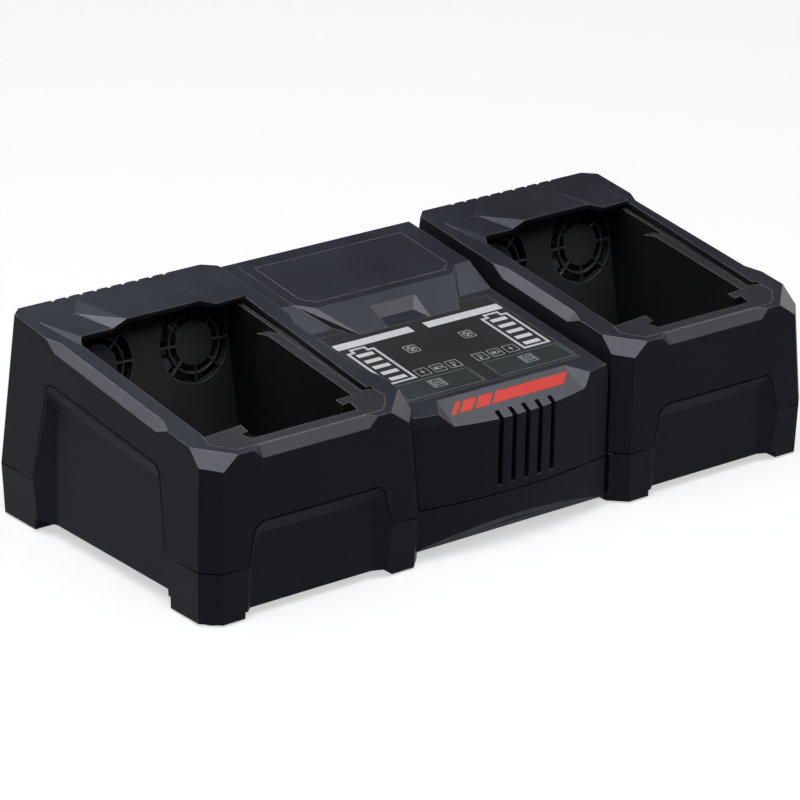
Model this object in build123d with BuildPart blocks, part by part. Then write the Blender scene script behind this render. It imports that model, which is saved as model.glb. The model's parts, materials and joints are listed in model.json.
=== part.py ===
from build123d import *
import math
import os

os.makedirs("parts", exist_ok=True)

# Dual-bay fast charger for 18 V tool packs, in millimetres.
# X runs across the two bays, Y to the back, Z up. The origin is on the ground, at the middle.
# Places in a bay are given from the front face and from the left or the right edge of its block.

# Overall
bay_spacing = 245.0  # centre to centre of the two bays
bay_width = 120.5  # of each block at its tops
right_flare = 7.5  # how much further out a block's right wall stands at the parting line
depth = 177.5
corner_cut = 8.0  # upright corners of each bay block
foot_proud = 1.0  # rubber feet below the plastic corners
parting_height = 26.6  # widest line, where the upper housings meet the base
seam = 0.3  # shadow gap at the parting line
fit = 0.15  # clearance round pieces that are set flush
play = 0.25  # clearance round pieces that travel
seat = 0.1  # gap where inner pieces meet

# Tops: three planes with one slope, measured at the front
top_slope = 8.1
rim_front_height = 82.7
deck_drop = 10.1
plateau_drop = 3.1
back_edge = 12.5  # from the back face to where the back edge of the tops starts to fall
back_strip = 6.9  # level strip along that edge
back_fall = 6.0

# Walls and drafts
wall = 2.8
wall_draft = 1.4
right_lean = 5.6  # the right wall of each block
back_lean = 7.7
base_draft = 2.3
right_base_draft = 0.4
roof = 3.0
rim_width = 6.6  # solid margin under the rim, which carries the bevels
rim_depth = 9.0

# Base
base_wall = 9.0
base_floor = 2.5
front_foot = 30.6
rear_foot = 35.5
left_foot = 21.7
right_foot = 13.8
side_arch = 5.7
front_arch = 3.2
centre_arch = 4.3
centre_undercut = 8.5  # rise of the slope that sets the bottom of the middle's bow back
side_scoop = 5.0
front_scoop = 4.0
scoop_wall = 2.6
passage = 80.0  # wiring way between the bays and the middle
pad_radius = 6.8
pad_depth = 1.0
pad_inset = 10.4

# Bevels of the rims
bevel_inset = 5.25
bevel_drop = 5.2
corner_reach = {-1: (17.0, 16.0), 1: (18.4, 17.6)}  # along the side and the front of each corner
corner_depth = 3.0
corner_drop = 6.4
brow_inset = 1.2  # bevel along the bowed front edge of the middle
brow_drop = 4.4

# Bay: tub with its corner plates, rails and guide wall
opening_left = 13.4
opening_right = 11.3
tub_right = 12.0
tub_front = 10.8
tub_floor = 33.0
tub_wall = 2.5
tub_corner = 3.0
ear = 3.0  # thickness of the corner plates
guide_right = 16.0
guide_width = 6.0
guide_back = 97.0
guide_tail = 9.0
guide_tail_drop = 3.0
guide_round = 2.4
hood_skin = 2.3
hood_front = 52.5  # places of the hood's corners, from the back face
hood_tips = 58.5
hood_knee = 30.8
hood_back = 17.0
hood_left = (-47.5, -43.5, -52.0)  # across, from the bay's middle: tip, end and back corner
hood_rise = (-25.5, -17.5, 24.5, 34.75)  # feet and tops of its two slopes
hood_right = 51.9
hood_ridge = (-31.5, -24.0, 22.2)  # left knee and the ends of the ridge
hood_low = 1.0  # heights over the rim
hood_high = 4.25
hood_sink = 0.1

# Charging contacts
contact_width = 34.0
contact_depth = 14.0
contact_height = 22.0
contacts = 5
contact_pitch = 6.4
blade_slot = 1.6
blade_thickness = 0.8
blade_length = 8.0
blade_height = 14.0
strip_height = 2.0

# Fans
fan_face = 43.5  # from the back face
fan_drop = 22.3  # below the rim
fan_lean = 11.0
fan_offset = 28.0
fan_wall = 2.5
fan_size = 40.0
fan_depth = 10.0
fan_bore = 19.0
fan_hole_pitch = 32.0
fan_hole = 1.8
grille_radius = 19.75
ring_radius = 14.7
hub_radius = 10.9
bar_width = 1.1
spokes = 8
spoke_turn = -2.4
rotor_radius = 18.2
rotor_hub = 10.0
rotor_depth = 6.2
rotor_gap = 0.8
rotor_blades = 7
vane_thickness = 0.8
vane_root = 8.0
vane_tip = 9.5
vane_pitch = 36.0
mount_depth = 2.0
struts = 3
strut_width = 2.4
shaft_radius = 1.0
bearing_clearance = 0.05

# Middle section
centre_clear = 3.0  # gap beside the right-hand bay block
front_bow = 6.3
bow_middle = 3.9  # the bow lies a little to the right
centre_back_inset = 11.5
plateau_front = 113.4
plateau_back = 15.5  # from the back face
step_foot = 96.0
prow_foot = 85.5
prow_top = 106.0
prow_foot_half = 30.95
prow_top_half = 42.5
prow_side = 8.2  # width of the prow's side facets
fascia_slope = 31.5
fascia_back = 16.2

# Vents
vent_pitch = 8.1
vent_width = 2.8
front_vents = 5
front_vent_bottom = 30.8
front_vent_depth = 4.4
rear_vents = 9
rear_vent_drop = 19.0  # below the top strip
rear_vent_notch = 1.6

# Display and keys
film = 1.0
film_half = 52.4
film_front = 19.8
film_back = 91.0
key_gap = 9.0  # between the two keys
key_margin = 1.0
key_front = 21.3
key_back = 36.6
key_travel = 0.6
stem_radius = 2.4
bar_inner = 4.4
bar_outer = 51.0
bar_front = 76.5
bar_back = 82.0
gauge_inner = 33.6
gauge_outer = 48.4
gauge_front = 39.4
gauge_back = 69.6
gauge_steps = 5
gauge_gap = 1.3
spine_width = 3.0
board = 1.6
board_drop = 6.0  # from the deck's underside to the display board
board_margin = 5.2  # from the board's sides to the middles of its posts
post_radius = 2.6
post_gap = 2.7  # between a post and a gauge's spine
switch_size = 6.2
switch_height = 3.6

# Nameplate and accent
plate_depth = 1.0
plate_half = 45.9
plate_middle = 1.8
plate_front = 111.0
plate_back = 153.8
plate_corner = 6.0
groove_place = -51.2
groove_width = 0.6
accent_depth = 0.6
accent_front = 7.7
accent_back = 13.3
accent_start = -36.95
accent_widths = (3.4, 7.8, 8.6, 44.5)
accent_gap = 1.6
accent_slant = 6.6

# Power electronics
main_board_half = 50.0
main_board_front = 26.0
main_board_back = 31.5  # from the back face
stand_off = 4.0
transformer_size = 32.0
transformer_place = (24.0, 116.0)
transformer_height = 27.0
winding_margin = 4.0
capacitor_place = (12.0, 56.0)
capacitor_radius = 9.0
capacitor_height = 34.0
fin_pitch = 4.0
fins = 7
fin_thickness = 1.4
sink_length = 44.0
sink_height = 32.0
sink_base = 3.0

# Mains inlet
gland_height = 44.0
gland_flange = 9.0
gland_sleeve = 6.5
gland_bore = 3.6
gland_length = 12.0
gland_head = 3.0

front = -depth / 2
slope = math.radians(top_slope)
rise = math.tan(slope)
block_half = bay_width / 2
bay_centre = bay_spacing / 2
overall_width = bay_spacing + bay_width + right_flare
middle_half = bay_centre - block_half
middle_right = middle_half - centre_clear
floor_top = foot_proud + side_arch + base_floor
back_top_end = depth - back_edge
flat_start = back_top_end - back_strip
back_top_height = rim_front_height + rise * flat_start
gauge_middle = (gauge_inner + gauge_outer) / 2
display_half = gauge_middle + spine_width / 2 + post_gap + post_radius + board_margin
very_high = 3 * rim_front_height
far = 2 * overall_width


def behind(distance):
    """Y of a place this far behind the front face."""
    return front + distance


def ahead(distance):
    """Y of a place this far ahead of the back face."""
    return -front - distance


def from_left(side, distance):
    """X of a place this far from the left edge of a bay block."""
    return side * bay_centre - block_half + distance


def from_right(side, distance):
    """X of a place this far from the right edge of a bay block's top."""
    return side * bay_centre + block_half - distance


def rim_height(distance, drop=0.0):
    """Height of the sloped rim, or of a plane below it, this far behind the front."""
    return rim_front_height + rise * distance - drop


def run_in(angle, height):
    """How far a leaning wall comes in over a height."""
    return math.tan(math.radians(angle)) * height


def up_slope(distance):
    """Distance along the sloped planes for a distance behind the front face."""
    return distance / math.cos(slope)


def sloped_plane(drop):
    """Plane of the rim, or one below it. Its Y runs up the slope from the front face."""
    normal = (0, -math.sin(slope), math.cos(slope))
    return Plane(origin=(0, front, rim_height(0, drop)), x_dir=(1, 0, 0), z_dir=normal)


def fan_plane(side, across=0.0):
    """Plane of a leaning fan panel's face, centred on the panel or on one of its fans."""
    lean = math.radians(fan_lean)
    centre = (side * bay_centre + across, ahead(fan_face), rim_height(depth - fan_face, fan_drop))
    return Plane(origin=centre, x_dir=(1, 0, 0), z_dir=(0, -math.cos(lean), math.sin(lean)))


def save(part, name):
    """Brings a finished piece to the middle of the overall width, labels it and writes it."""
    piece = Pos(-right_flare / 2, 0, 0) * part
    piece.label = name
    export_step(piece, f"parts/{name}.step")


def block(low, high, mode=Mode.ADD):
    """Box between two opposite corners."""
    with Locations(tuple((a + b) / 2 for a, b in zip(low, high))):
        Box(*[b - a for a, b in zip(low, high)], mode=mode)


def sloped_slab(upper_drop, lower_drop):
    """Side outline of a layer between two planes parallel to the rim."""
    with BuildSketch(Plane.YZ) as outline:
        Polygon(
            (behind(-depth), rim_height(-depth, lower_drop)),
            (behind(2 * depth), rim_height(2 * depth, lower_drop)),
            (behind(2 * depth), rim_height(2 * depth, upper_drop)),
            (behind(-depth), rim_height(-depth, upper_drop)),
            align=None,
        )
    return outline.sketch


def outline_from(points, height=0.0):
    """Level outline through points."""
    with BuildSketch(Plane.XY.offset(height)) as plan:
        Polygon(*points, align=None)
    return plan.sketch


def upright_plate(points, upper_drop, lower_drop):
    """Plate with upright sides between two planes parallel to the rim."""
    with BuildPart() as plate:
        extrude(outline_from(points), amount=very_high)
        extrude(sloped_slab(upper_drop, lower_drop), amount=far, both=True, mode=Mode.INTERSECT)
    return plate.part


def bay_corners(side, height, inset=0.0):
    """Corners of a bay block's plan at a height. Its walls lean in from the parting line, up and down."""
    up = max(height - parting_height, 0.0)
    down = max(parting_height - height, 0.0)
    plain = inset + run_in(wall_draft, up) + run_in(base_draft, down)
    left = from_left(side, plain)
    near = behind(plain)
    right = from_right(side, inset + run_in(right_lean, up) + run_in(right_base_draft, down) - right_flare)
    rear = ahead(inset + run_in(back_lean, up) + run_in(base_draft, down))
    cut = corner_cut - inset * (2 - math.sqrt(2))
    return [
        (left + cut, near),
        (right - cut, near),
        (right, near + cut),
        (right, rear - cut),
        (right - cut, rear),
        (left + cut, rear),
        (left, rear - cut),
        (left, near + cut),
    ]


def bay_body(side, low, high, inset=0.0):
    """Corners of a bay block's body between two heights."""
    return [Vector(x, y, z) for z in (low, high) for x, y in bay_corners(side, z, inset)]


def bay_side_outline(drop):
    """Side outline of a bay block: its rim, its flat back strip and its back edge."""
    steep = 2 * back_fall
    with BuildSketch(Plane.YZ) as outline:
        Polygon(
            (behind(-steep), 0),
            (behind(-steep), rim_height(-steep, drop)),
            (behind(flat_start), back_top_height - drop),
            (behind(back_top_end), back_top_height - drop),
            (behind(back_top_end + 3 * back_fall), back_top_height - 3 * back_fall - drop),
            (behind(back_top_end + 3 * back_fall), 0),
            align=None,
        )
    return outline.sketch


def tapered_block(side, inset=0.0, drop=0.0, bottom=parting_height):
    """A bay block above the parting line, with its leaning walls, under the sloped top."""
    with BuildPart() as body:
        ConvexPolyhedron(bay_body(side, bottom, 2 * rim_front_height, inset))
        extrude(bay_side_outline(drop), amount=far, both=True, mode=Mode.INTERSECT)
    return body.part


def bowed_plan(height, reach, back):
    """Plan of what lies behind the middle's bowed front, out to a reach and a back line."""
    edge = behind(front_bow)
    with BuildSketch(Plane.XY.offset(height)) as plan:
        with BuildLine():
            bow = ThreePointArc((-middle_half, edge), (bow_middle, front), (middle_right, edge))
            Polyline(bow @ 1, (reach, edge), (reach, back), (-reach, back), (-reach, edge), bow @ 0)
        make_face()
    return plan.sketch


def middle_plan(height, left, right, inset=0.0):
    """Plan of the middle section, with its bowed front, between two upright planes."""
    with BuildSketch(Plane.XY.offset(height)) as plan:
        add(bowed_plan(height, bay_centre, ahead(centre_back_inset)))
        if inset:
            offset(amount=-inset)
        with Locations(((left + right) / 2, 0)):
            Rectangle(right - left, depth, mode=Mode.INTERSECT)
    return plan.sketch


def bevel_cutter(place, start, end, start_run, end_run):
    """Corners of the wedge that bevels a rim edge, with a three-sided facet at each end.

    place maps (along the edge, inwards, above the rim) to a point. The inner line of the bevel
    runs from start to end, and the facets run out over start_run and end_run.
    """
    outside = -3.0
    reach = (bevel_inset - outside) / (bevel_inset - 1.0)
    points = []
    for above in (0.0, 4.0):
        points.append(place(start, bevel_inset, above))
        points.append(place(end, bevel_inset, above))
        points.append(place(start - start_run * reach, outside, above))
        points.append(place(end + end_run * reach, outside, above))
    points.append(place(start, outside, -bevel_drop * reach))
    points.append(place(end, outside, -bevel_drop * reach))
    return points


def rim_edge(side, face, distance):
    """X of the left or right edge of a bay block's rim, this far behind the front."""
    over = rim_height(distance) - parting_height
    if face < 0:
        return from_left(side, run_in(wall_draft, over))
    return from_right(side, run_in(right_lean, over) - right_flare)


def corner_cutter(side, face):
    """Corners of the prism that takes a top front corner off a bay block, on its left or right."""
    along_side, along_front = corner_reach[face]
    edge = rim_edge(side, face, along_side)
    near = run_in(wall_draft, rim_front_height - parting_height)
    at_side = Vector(edge, behind(along_side), rim_height(along_side))
    at_front = Vector(edge - face * along_front, behind(near), rim_height(near))
    low = Vector(edge - face * corner_depth, behind(near + corner_cut / 2), rim_front_height - corner_drop)
    middle = (at_side + at_front) * 0.5
    spread = 3.0
    wide_side = at_side + (at_side - middle) * spread
    wide_front = at_front + (at_front - middle) * spread
    deep = low + (low - middle) * spread
    outward = Vector(face * 30.0, -30.0, 12.0)
    return [wide_side, wide_front, deep, wide_side + outward, wide_front + outward, deep + outward]


# ---------------------------------------------------------------- base


def side_plane(side, inwards, lean):
    """Plane along the outer side of a bay block, upright or leaning in from the parting line."""
    tilt = math.radians(lean)
    outermost = from_right(1, -right_flare) if side > 0 else from_left(-1, 0)
    outward = (math.cos(tilt), 0, side * math.sin(tilt))
    return Plane(origin=(outermost - side * inwards, 0, parting_height), x_dir=(0, 1, 0), z_dir=outward)


def over_seam(height):
    """Height over the parting line."""
    return height - parting_height


def panel_lean(side):
    """Lean of the outer side's panel above the parting line."""
    return right_lean if side > 0 else 0.0


def side_panel_outline(side, lean, margin=0.0):
    """Outer outline of the scooped panel on the outer side of a bay block."""
    low = over_seam(-wall)
    with BuildSketch(side_plane(side, 0.0, lean)) as outline:
        Polygon(
            (behind(front_foot), low),
            (behind(front_foot + 2.9), 0),
            (behind(front_foot + 9.0), over_seam(rim_height(front_foot + 9.0, 22.8))),
            (behind(front_foot + 12.4), over_seam(rim_height(front_foot + 12.4, 20.2))),
            (ahead(rear_foot + 14.5), over_seam(rim_height(depth - rear_foot - 14.5, 21.4))),
            (ahead(rear_foot + 10.8), over_seam(rim_height(depth - rear_foot - 10.8, 23.9))),
            (ahead(rear_foot), 0),
            (ahead(rear_foot), low),
            align=None,
        )
        if margin:
            offset(amount=margin)
    return outline.sketch


def side_panel_floor(side, lean):
    """Inner outline of the side scoop, where it reaches its depth."""
    low = over_seam(-wall)
    with BuildSketch(side_plane(side, side_scoop, lean)) as outline:
        Polygon(
            (behind(front_foot + 3.4), low),
            (behind(front_foot + 6.4), 0),
            (behind(front_foot + 11.9), over_seam(rim_height(front_foot + 11.9, 31.2))),
            (behind(front_foot + 14.4), over_seam(rim_height(front_foot + 14.4, 29.1))),
            (ahead(rear_foot + 15.0), over_seam(rim_height(depth - rear_foot - 15.0, 32.3))),
            (ahead(rear_foot + 14.0), over_seam(rim_height(depth - rear_foot - 14.0, 34.4))),
            (ahead(rear_foot + 13.0), 0),
            (ahead(rear_foot + 13.0), low),
            align=None,
        )
    return outline.sketch


def side_scoop_parts(side):
    """The scoop of a side panel: upright below the parting line, and leaning with the wall above it."""
    parts = []
    for lean, low, high in ((0.0, -wall, parting_height), (panel_lean(side), parting_height, very_high)):
        with BuildPart() as scoop:
            loft([side_panel_outline(side, lean), side_panel_floor(side, lean)])
            block((-far, -far, low), (far, far, high), Mode.INTERSECT)
        parts.append(scoop.part)
    return parts


def front_panel_outline(side, margin=0.0):
    """Outer outline of the scooped panel on the front of a bay block."""
    with BuildSketch(Plane.XZ.offset(-front)) as outline:
        Polygon(
            (from_left(side, left_foot), -wall),
            (from_left(side, left_foot + 1.0), parting_height),
            (from_left(side, left_foot + 4.9), rim_height(0, 38.1)),
            (from_left(side, left_foot + 9.3), rim_height(0, 35.3)),
            (from_right(side, right_foot + 9.0), rim_height(0, 35.3)),
            (from_right(side, right_foot + 6.2), rim_height(0, 38.0)),
            (from_right(side, right_foot + 1.5), parting_height),
            (from_right(side, right_foot), -wall),
            align=None,
        )
        if margin:
            offset(amount=margin)
    return outline.sketch


def front_panel_floor(side):
    """Inner outline of the front scoop, where it reaches its depth."""
    with BuildSketch(Plane.XZ.offset(-front - front_scoop)) as outline:
        Polygon(
            (from_left(side, left_foot + 4.8), -wall),
            (from_left(side, left_foot + 5.7), parting_height),
            (from_left(side, left_foot + 7.9), rim_height(0, 44.7)),
            (from_left(side, left_foot + 11.3), rim_height(0, 42.7)),
            (from_right(side, right_foot + 12.7), rim_height(0, 42.7)),
            (from_right(side, right_foot + 11.1), rim_height(0, 44.7)),
            (from_right(side, right_foot + 10.1), parting_height),
            (from_right(side, right_foot + 10.1), -wall),
            align=None,
        )
    return outline.sketch


def panel_tongues(side):
    """The parts of the side and front panels that rise above the parting line."""
    shape = tapered_block(side)
    with BuildPart() as side_tongue:
        add(shape)
        outline = side_panel_outline(side, panel_lean(side))
        extrude(outline, amount=-side * (side_scoop + scoop_wall), mode=Mode.INTERSECT)
    with BuildPart() as front_tongue:
        add(shape)
        extrude(front_panel_outline(side), amount=-(front_scoop + scoop_wall), mode=Mode.INTERSECT)
    return side_tongue.part, front_tongue.part


def pad_places():
    """Centres of the four rubber feet."""
    left = from_left(-1, pad_inset)
    right = from_right(1, pad_inset - right_flare)
    return [(x, y) for x in (left, right) for y in (behind(pad_inset), ahead(pad_inset))]


def board_posts():
    """Places of the posts under the main board."""
    near = 2 * post_radius + seat
    places = []
    for side in (-1, 1):
        for y in (behind(main_board_front + near), ahead(main_board_back + near)):
            places.append((side * (main_board_half - near), y))
    return places


def undercut_outline():
    """Side outline of what the slope under the middle's bow takes away."""
    bottom = foot_proud + centre_arch
    with BuildSketch(Plane.YZ) as outline:
        Polygon(
            (behind(front_bow), bottom - wall),
            (behind(front_bow), bottom),
            (behind(0), bottom + centre_undercut),
            (behind(-wall), bottom + centre_undercut),
            (behind(-wall), bottom - wall),
            align=None,
        )
    return outline.sketch


def make_base():
    """Lower housing: the tray under both bays and the middle, with scooped panels and corner feet."""
    tongues = panel_tongues(-1) + panel_tongues(1)
    with BuildPart() as base:
        plan = middle_plan(parting_height, -middle_half - base_wall, middle_half + base_wall)
        extrude(plan, amount=foot_proud + centre_arch - parting_height)
        extrude(undercut_outline(), amount=far, both=True, mode=Mode.SUBTRACT)
        for side in (-1, 1):
            ConvexPolyhedron(bay_body(side, foot_proud, parting_height))
        for tongue in tongues:
            add(tongue)
        # scoops in the outer sides and the fronts
        for side in (-1, 1):
            for scoop in side_scoop_parts(side):
                add(scoop, mode=Mode.SUBTRACT)
            loft([front_panel_outline(side), front_panel_floor(side)], mode=Mode.SUBTRACT)
        # arches between the feet
        for side in (-1, 1):
            low = (from_left(side, left_foot), front - wall, -wall)
            high = (from_right(side, right_foot), -front + wall, foot_proud + front_arch)
            block(low, high, Mode.SUBTRACT)
        low = (-overall_width, behind(front_foot), -wall)
        block(low, (overall_width, -front - rear_foot, foot_proud + side_arch), Mode.SUBTRACT)
        # tray: one pocket in each part, joined by the wiring way
        for side in (-1, 1):
            outline = outline_from(bay_corners(side, floor_top, base_wall), floor_top)
            extrude(outline, amount=very_high, mode=Mode.SUBTRACT)
        plan = middle_plan(floor_top, -middle_half + right_flare + wall, middle_right - wall, wall)
        extrude(plan, amount=very_high, mode=Mode.SUBTRACT)
        low = (-bay_centre, -passage / 2, floor_top)
        block(low, (bay_centre, passage / 2, very_high), Mode.SUBTRACT)
        # gap beside the right-hand bay block, at the front
        low = (middle_right, front - wall, -wall)
        block(low, (middle_half, behind(front_bow + wall), very_high), Mode.SUBTRACT)
        # posts for the main board
        with Locations([(x, y, floor_top) for x, y in board_posts()]):
            Cylinder(post_radius, stand_off, align=(Align.CENTER, Align.CENTER, Align.MIN))
        # seats of the rubber feet
        with Locations([(x, y, foot_proud) for x, y in pad_places()]):
            Cylinder(
                pad_radius,
                pad_depth,
                align=(Align.CENTER, Align.CENTER, Align.MIN),
                mode=Mode.SUBTRACT,
            )
    return base.part


def make_pad(place):
    """Rubber foot, set into a corner of the base and proud of it."""
    with BuildPart() as pad:
        with BuildSketch(Plane.XY) as face:
            with Locations(place):
                Circle(pad_radius - fit)
        extrude(amount=foot_proud + pad_depth)
        chamfer(pad.faces().sort_by(Axis.Z)[0].edges(), foot_proud / 2)
    return pad.part


# ---------------------------------------------------------------- bay housings


def hood_pieces(side, skin=0.0, forward=0.0, body=roof):
    """Top and bottom corners of the hood's three convex pieces, or of the hollow a skin below."""

    def top(across, from_back, above):
        over = min(rim_height(depth - from_back), back_top_height) + above - skin
        return Vector(side * bay_centre + across, ahead(from_back + forward), over)

    tip, end, corner = hood_left
    foot_left, top_left, top_right, foot_right = hood_rise
    knee, ridge_start, ridge_end = hood_ridge
    left_tip = top(tip + skin, hood_tips, 0.0)
    left_end = top(end + skin, hood_front, hood_low)
    left_low = top(foot_left, hood_front, hood_low)
    left_high = top(top_left, hood_front, hood_high)
    right_high = top(top_right, hood_front, hood_high)
    right_low = top(foot_right, hood_front, hood_low / 2)
    right_end = top(hood_right - skin, hood_front, hood_low)
    right_tip = top(hood_right - skin, hood_tips, 0.0)
    left_back = top(corner + skin, hood_knee, hood_sink)
    left_knee = top(knee, hood_knee, hood_sink)
    ridge_left = top(ridge_start, hood_back, hood_sink / 2)
    ridge_right = top(ridge_end, hood_back, hood_sink / 2)
    right_back = top(hood_right - skin, hood_knee, hood_sink)
    pieces = [
        [left_tip, left_end, left_low, left_knee, left_back],
        [left_low, left_high, right_high, right_low, ridge_right, ridge_left, left_knee],
        [right_tip, right_end, right_low, ridge_right, right_back],
    ]
    return [corners + [point - Vector(0, 0, body) for point in corners] for corners in pieces]


def corner_plate_outline(side, margin=0.0):
    """Outline of the tub's flush front, with its two corner plates."""
    left = from_left(side, 0)
    right = from_right(side, 0)
    return [
        (left + opening_left + margin, behind(24.5 - margin)),
        (left + 10.8 + margin, behind(14.6)),
        (left + 20.0, behind(bevel_inset + margin)),
        (right - 18.3, behind(bevel_inset + margin)),
        (right - 14.0 - margin, behind(8.4)),
        (right - 8.0 - margin, behind(16.0)),
        (right - 9.1 - margin, behind(23.0 - margin)),
        (right - opening_right, behind(24.4 - margin)),
    ]


def opening_outline(side):
    """Outline of the bay's opening in the housing, behind the corner plates."""
    left = from_left(side, 0)
    right = from_right(side, 0)
    return [
        (left + opening_left, behind(20.0)),
        (left + opening_left, ahead(hood_front + 5.4)),
        (left + opening_left + 3.4, ahead(hood_front)),
        (right - 8.35, ahead(hood_front)),
        (right - 8.3, ahead(hood_front + 5.4)),
        (right - opening_right, behind(26.3)),
        (right - 8.7, behind(26.6)),
        (right - 9.1, behind(23.0)),
        (right - opening_right, behind(20.0)),
    ]


def rim_bevels(side):
    """Wedges that bevel the front and both sides of a bay's rim."""

    def on_front(along, inwards, above):
        return Vector(from_left(side, along), behind(inwards), rim_height(inwards) + above)

    def on_side(face, along, inwards, above):
        nominal = run_in(wall_draft, rim_height(along) - parting_height)
        x = rim_edge(side, face, along) - face * (inwards - nominal)
        return Vector(x, behind(along), rim_height(along) + above)

    def on_outer(along, inwards, above):
        return on_side(side, along, inwards, above)

    def on_inner(along, inwards, above):
        return on_side(-side, along, inwards, above)

    return [
        bevel_cutter(on_front, 31.5, bay_width - 28.1, 6.1, 5.0),
        bevel_cutter(on_outer, 42.4, depth - hood_front, 10.2, 9.7),
        bevel_cutter(on_inner, 42.4, 92.7, 10.3, 10.4),
        corner_cutter(side, -1),
        corner_cutter(side, 1),
    ]


def make_bay_housing(side):
    """Upper shell of a bay: drafted walls, sloped rim with bevels, and the hood over the fans."""
    outer = tapered_block(side, bottom=parting_height + seam)
    lower_hollow = tapered_block(side, wall, rim_depth)
    upper_hollow = tapered_block(side, rim_width, roof)
    flush_seat = upright_plate(corner_plate_outline(side), -rim_depth, ear)
    with BuildPart() as housing:
        add(outer)
        for corners in hood_pieces(side):
            ConvexPolyhedron(corners)
        for cutter in rim_bevels(side):
            ConvexPolyhedron(cutter, mode=Mode.SUBTRACT)
        add(lower_hollow, mode=Mode.SUBTRACT)
        add(upper_hollow, mode=Mode.SUBTRACT)
        for corners in hood_pieces(side, skin=hood_skin, forward=1.0, body=rim_depth):
            ConvexPolyhedron(corners, mode=Mode.SUBTRACT)
        # the bay's opening, and the seat of the tub's flush front
        extrude(outline_from(opening_outline(side), parting_height), amount=very_high, mode=Mode.SUBTRACT)
        add(flush_seat, mode=Mode.SUBTRACT)
        # room for the base's panels
        reach = side_scoop + scoop_wall + seam
        extrude(side_panel_outline(side, panel_lean(side), seam), amount=-side * reach, mode=Mode.SUBTRACT)
        reach = front_scoop + scoop_wall + seam
        extrude(front_panel_outline(side, seam), amount=-reach, mode=Mode.SUBTRACT)
        # exhaust slots in the back, which notch its top edge
        bottom = back_top_height - rear_vent_drop
        for index in range(rear_vents):
            x = side * bay_centre + vent_pitch * (index - (rear_vents - 1) / 2)
            low = (x - vent_width / 2, behind(back_top_end - rear_vent_notch), bottom)
            block(low, (x + vent_width / 2, behind(depth + wall), very_high), Mode.SUBTRACT)
    return housing.part


# ---------------------------------------------------------------- tubs


def pocket_outline(side):
    """Outline of the open pocket between the tub's corner plates."""
    left = from_left(side, 0)
    right = from_right(side, 0)
    far_back = ahead(fan_face - fan_depth)
    return [
        (left + opening_left - fit, behind(21.2)),
        (left + 34.9, behind(23.1)),
        (left + 34.4, behind(17.1)),
        (left + 29.9, behind(16.3)),
        (left + 32.2, behind(tub_front)),
        (right - 28.2, behind(tub_front)),
        (right - 27.0, behind(18.0)),
        (right - 31.7, behind(17.2)),
        (right - 31.7, behind(22.5)),
        (right - guide_right - guide_width, behind(23.3)),
        (right - guide_right, behind(24.4)),
        (right - opening_right + rim_width, behind(24.4)),
        (right - opening_right + rim_width, far_back),
        (left + opening_left - fit, far_back),
    ]


def rail_outlines(side):
    """Outlines of the two upright rails that the pack slides down."""
    left = from_left(side, 0)
    right = from_right(side, 0)
    left_rail = [
        (left + 27.0, behind(tub_front - 1)),
        (left + 32.2, behind(tub_front - 1)),
        (left + 29.9, behind(16.3)),
        (left + 34.4, behind(17.1)),
        (left + 34.9, behind(23.1)),
        (left + 27.0, behind(22.4)),
    ]
    right_rail = [
        (right - 28.2, behind(tub_front - 1)),
        (right - 27.0, behind(18.0)),
        (right - 31.7, behind(17.2)),
        (right - 31.7, behind(22.5)),
        (right - guide_right - guide_width + 1, behind(23.3)),
        (right - guide_right - guide_width + 1, behind(tub_front - 1)),
    ]
    return left_rail, right_rail


def guide_outline(side):
    """Side outline of the guide wall, with its lower, rounded tail."""
    low = tub_floor - tub_wall / 2
    with BuildSketch(Plane.YZ.offset(from_right(side, guide_right + guide_width))) as outline:
        Polygon(
            (behind(tub_front - 1), low),
            (behind(guide_back), low),
            (behind(guide_back), rim_height(guide_back, guide_tail_drop)),
            (behind(guide_back - guide_tail), rim_height(guide_back - guide_tail, seat)),
            (behind(tub_front - 1), rim_height(tub_front - 1, seat)),
            align=None,
        )
        tail = outline.vertices().sort_by(Axis.Y)[-2:].sort_by(Axis.Z)[-1]
        fillet(tail, guide_round)
    return outline.sketch


def make_corner_plates(side):
    """Flush front of the tub with its two corner plates, cut out for the pack."""
    plate = upright_plate(corner_plate_outline(side, fit), 0.0, ear)
    with BuildPart() as plates:
        add(plate)
        extrude(outline_from(pocket_outline(side)), amount=very_high, mode=Mode.SUBTRACT)
    return plates.part


def make_tub(side):
    """Pocket of a bay, with its flush corner plates, the pack's rails and the guide wall."""
    plates = make_corner_plates(side)
    left = from_left(side, opening_left)
    right = from_right(side, tub_right)
    with BuildPart() as tub:
        low = (left - tub_wall, behind(tub_front - tub_wall), tub_floor - tub_wall)
        block(low, (right + tub_wall, ahead(fan_face - fan_size), very_high))
        chamfer(tub.edges().filter_by(Axis.Z).group_by(Axis.Y)[0], tub_corner)
        low = (left, behind(tub_front), tub_floor)
        block(low, (right, ahead(fan_face - fan_size - wall), very_high + wall), Mode.SUBTRACT)
        for points in rail_outlines(side):
            extrude(outline_from(points, tub_floor - tub_wall / 2), amount=very_high)
        # the walls end under the rim, and at the leaning fan panel
        extrude(sloped_slab(ear, very_high), amount=far, both=True, mode=Mode.INTERSECT)
        with BuildSketch(fan_plane(side)):
            Rectangle(far, far)
        extrude(amount=-far, mode=Mode.SUBTRACT)
        add(plates)
        extrude(guide_outline(side), amount=guide_width)
    return tub.part


# ---------------------------------------------------------------- fans


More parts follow.
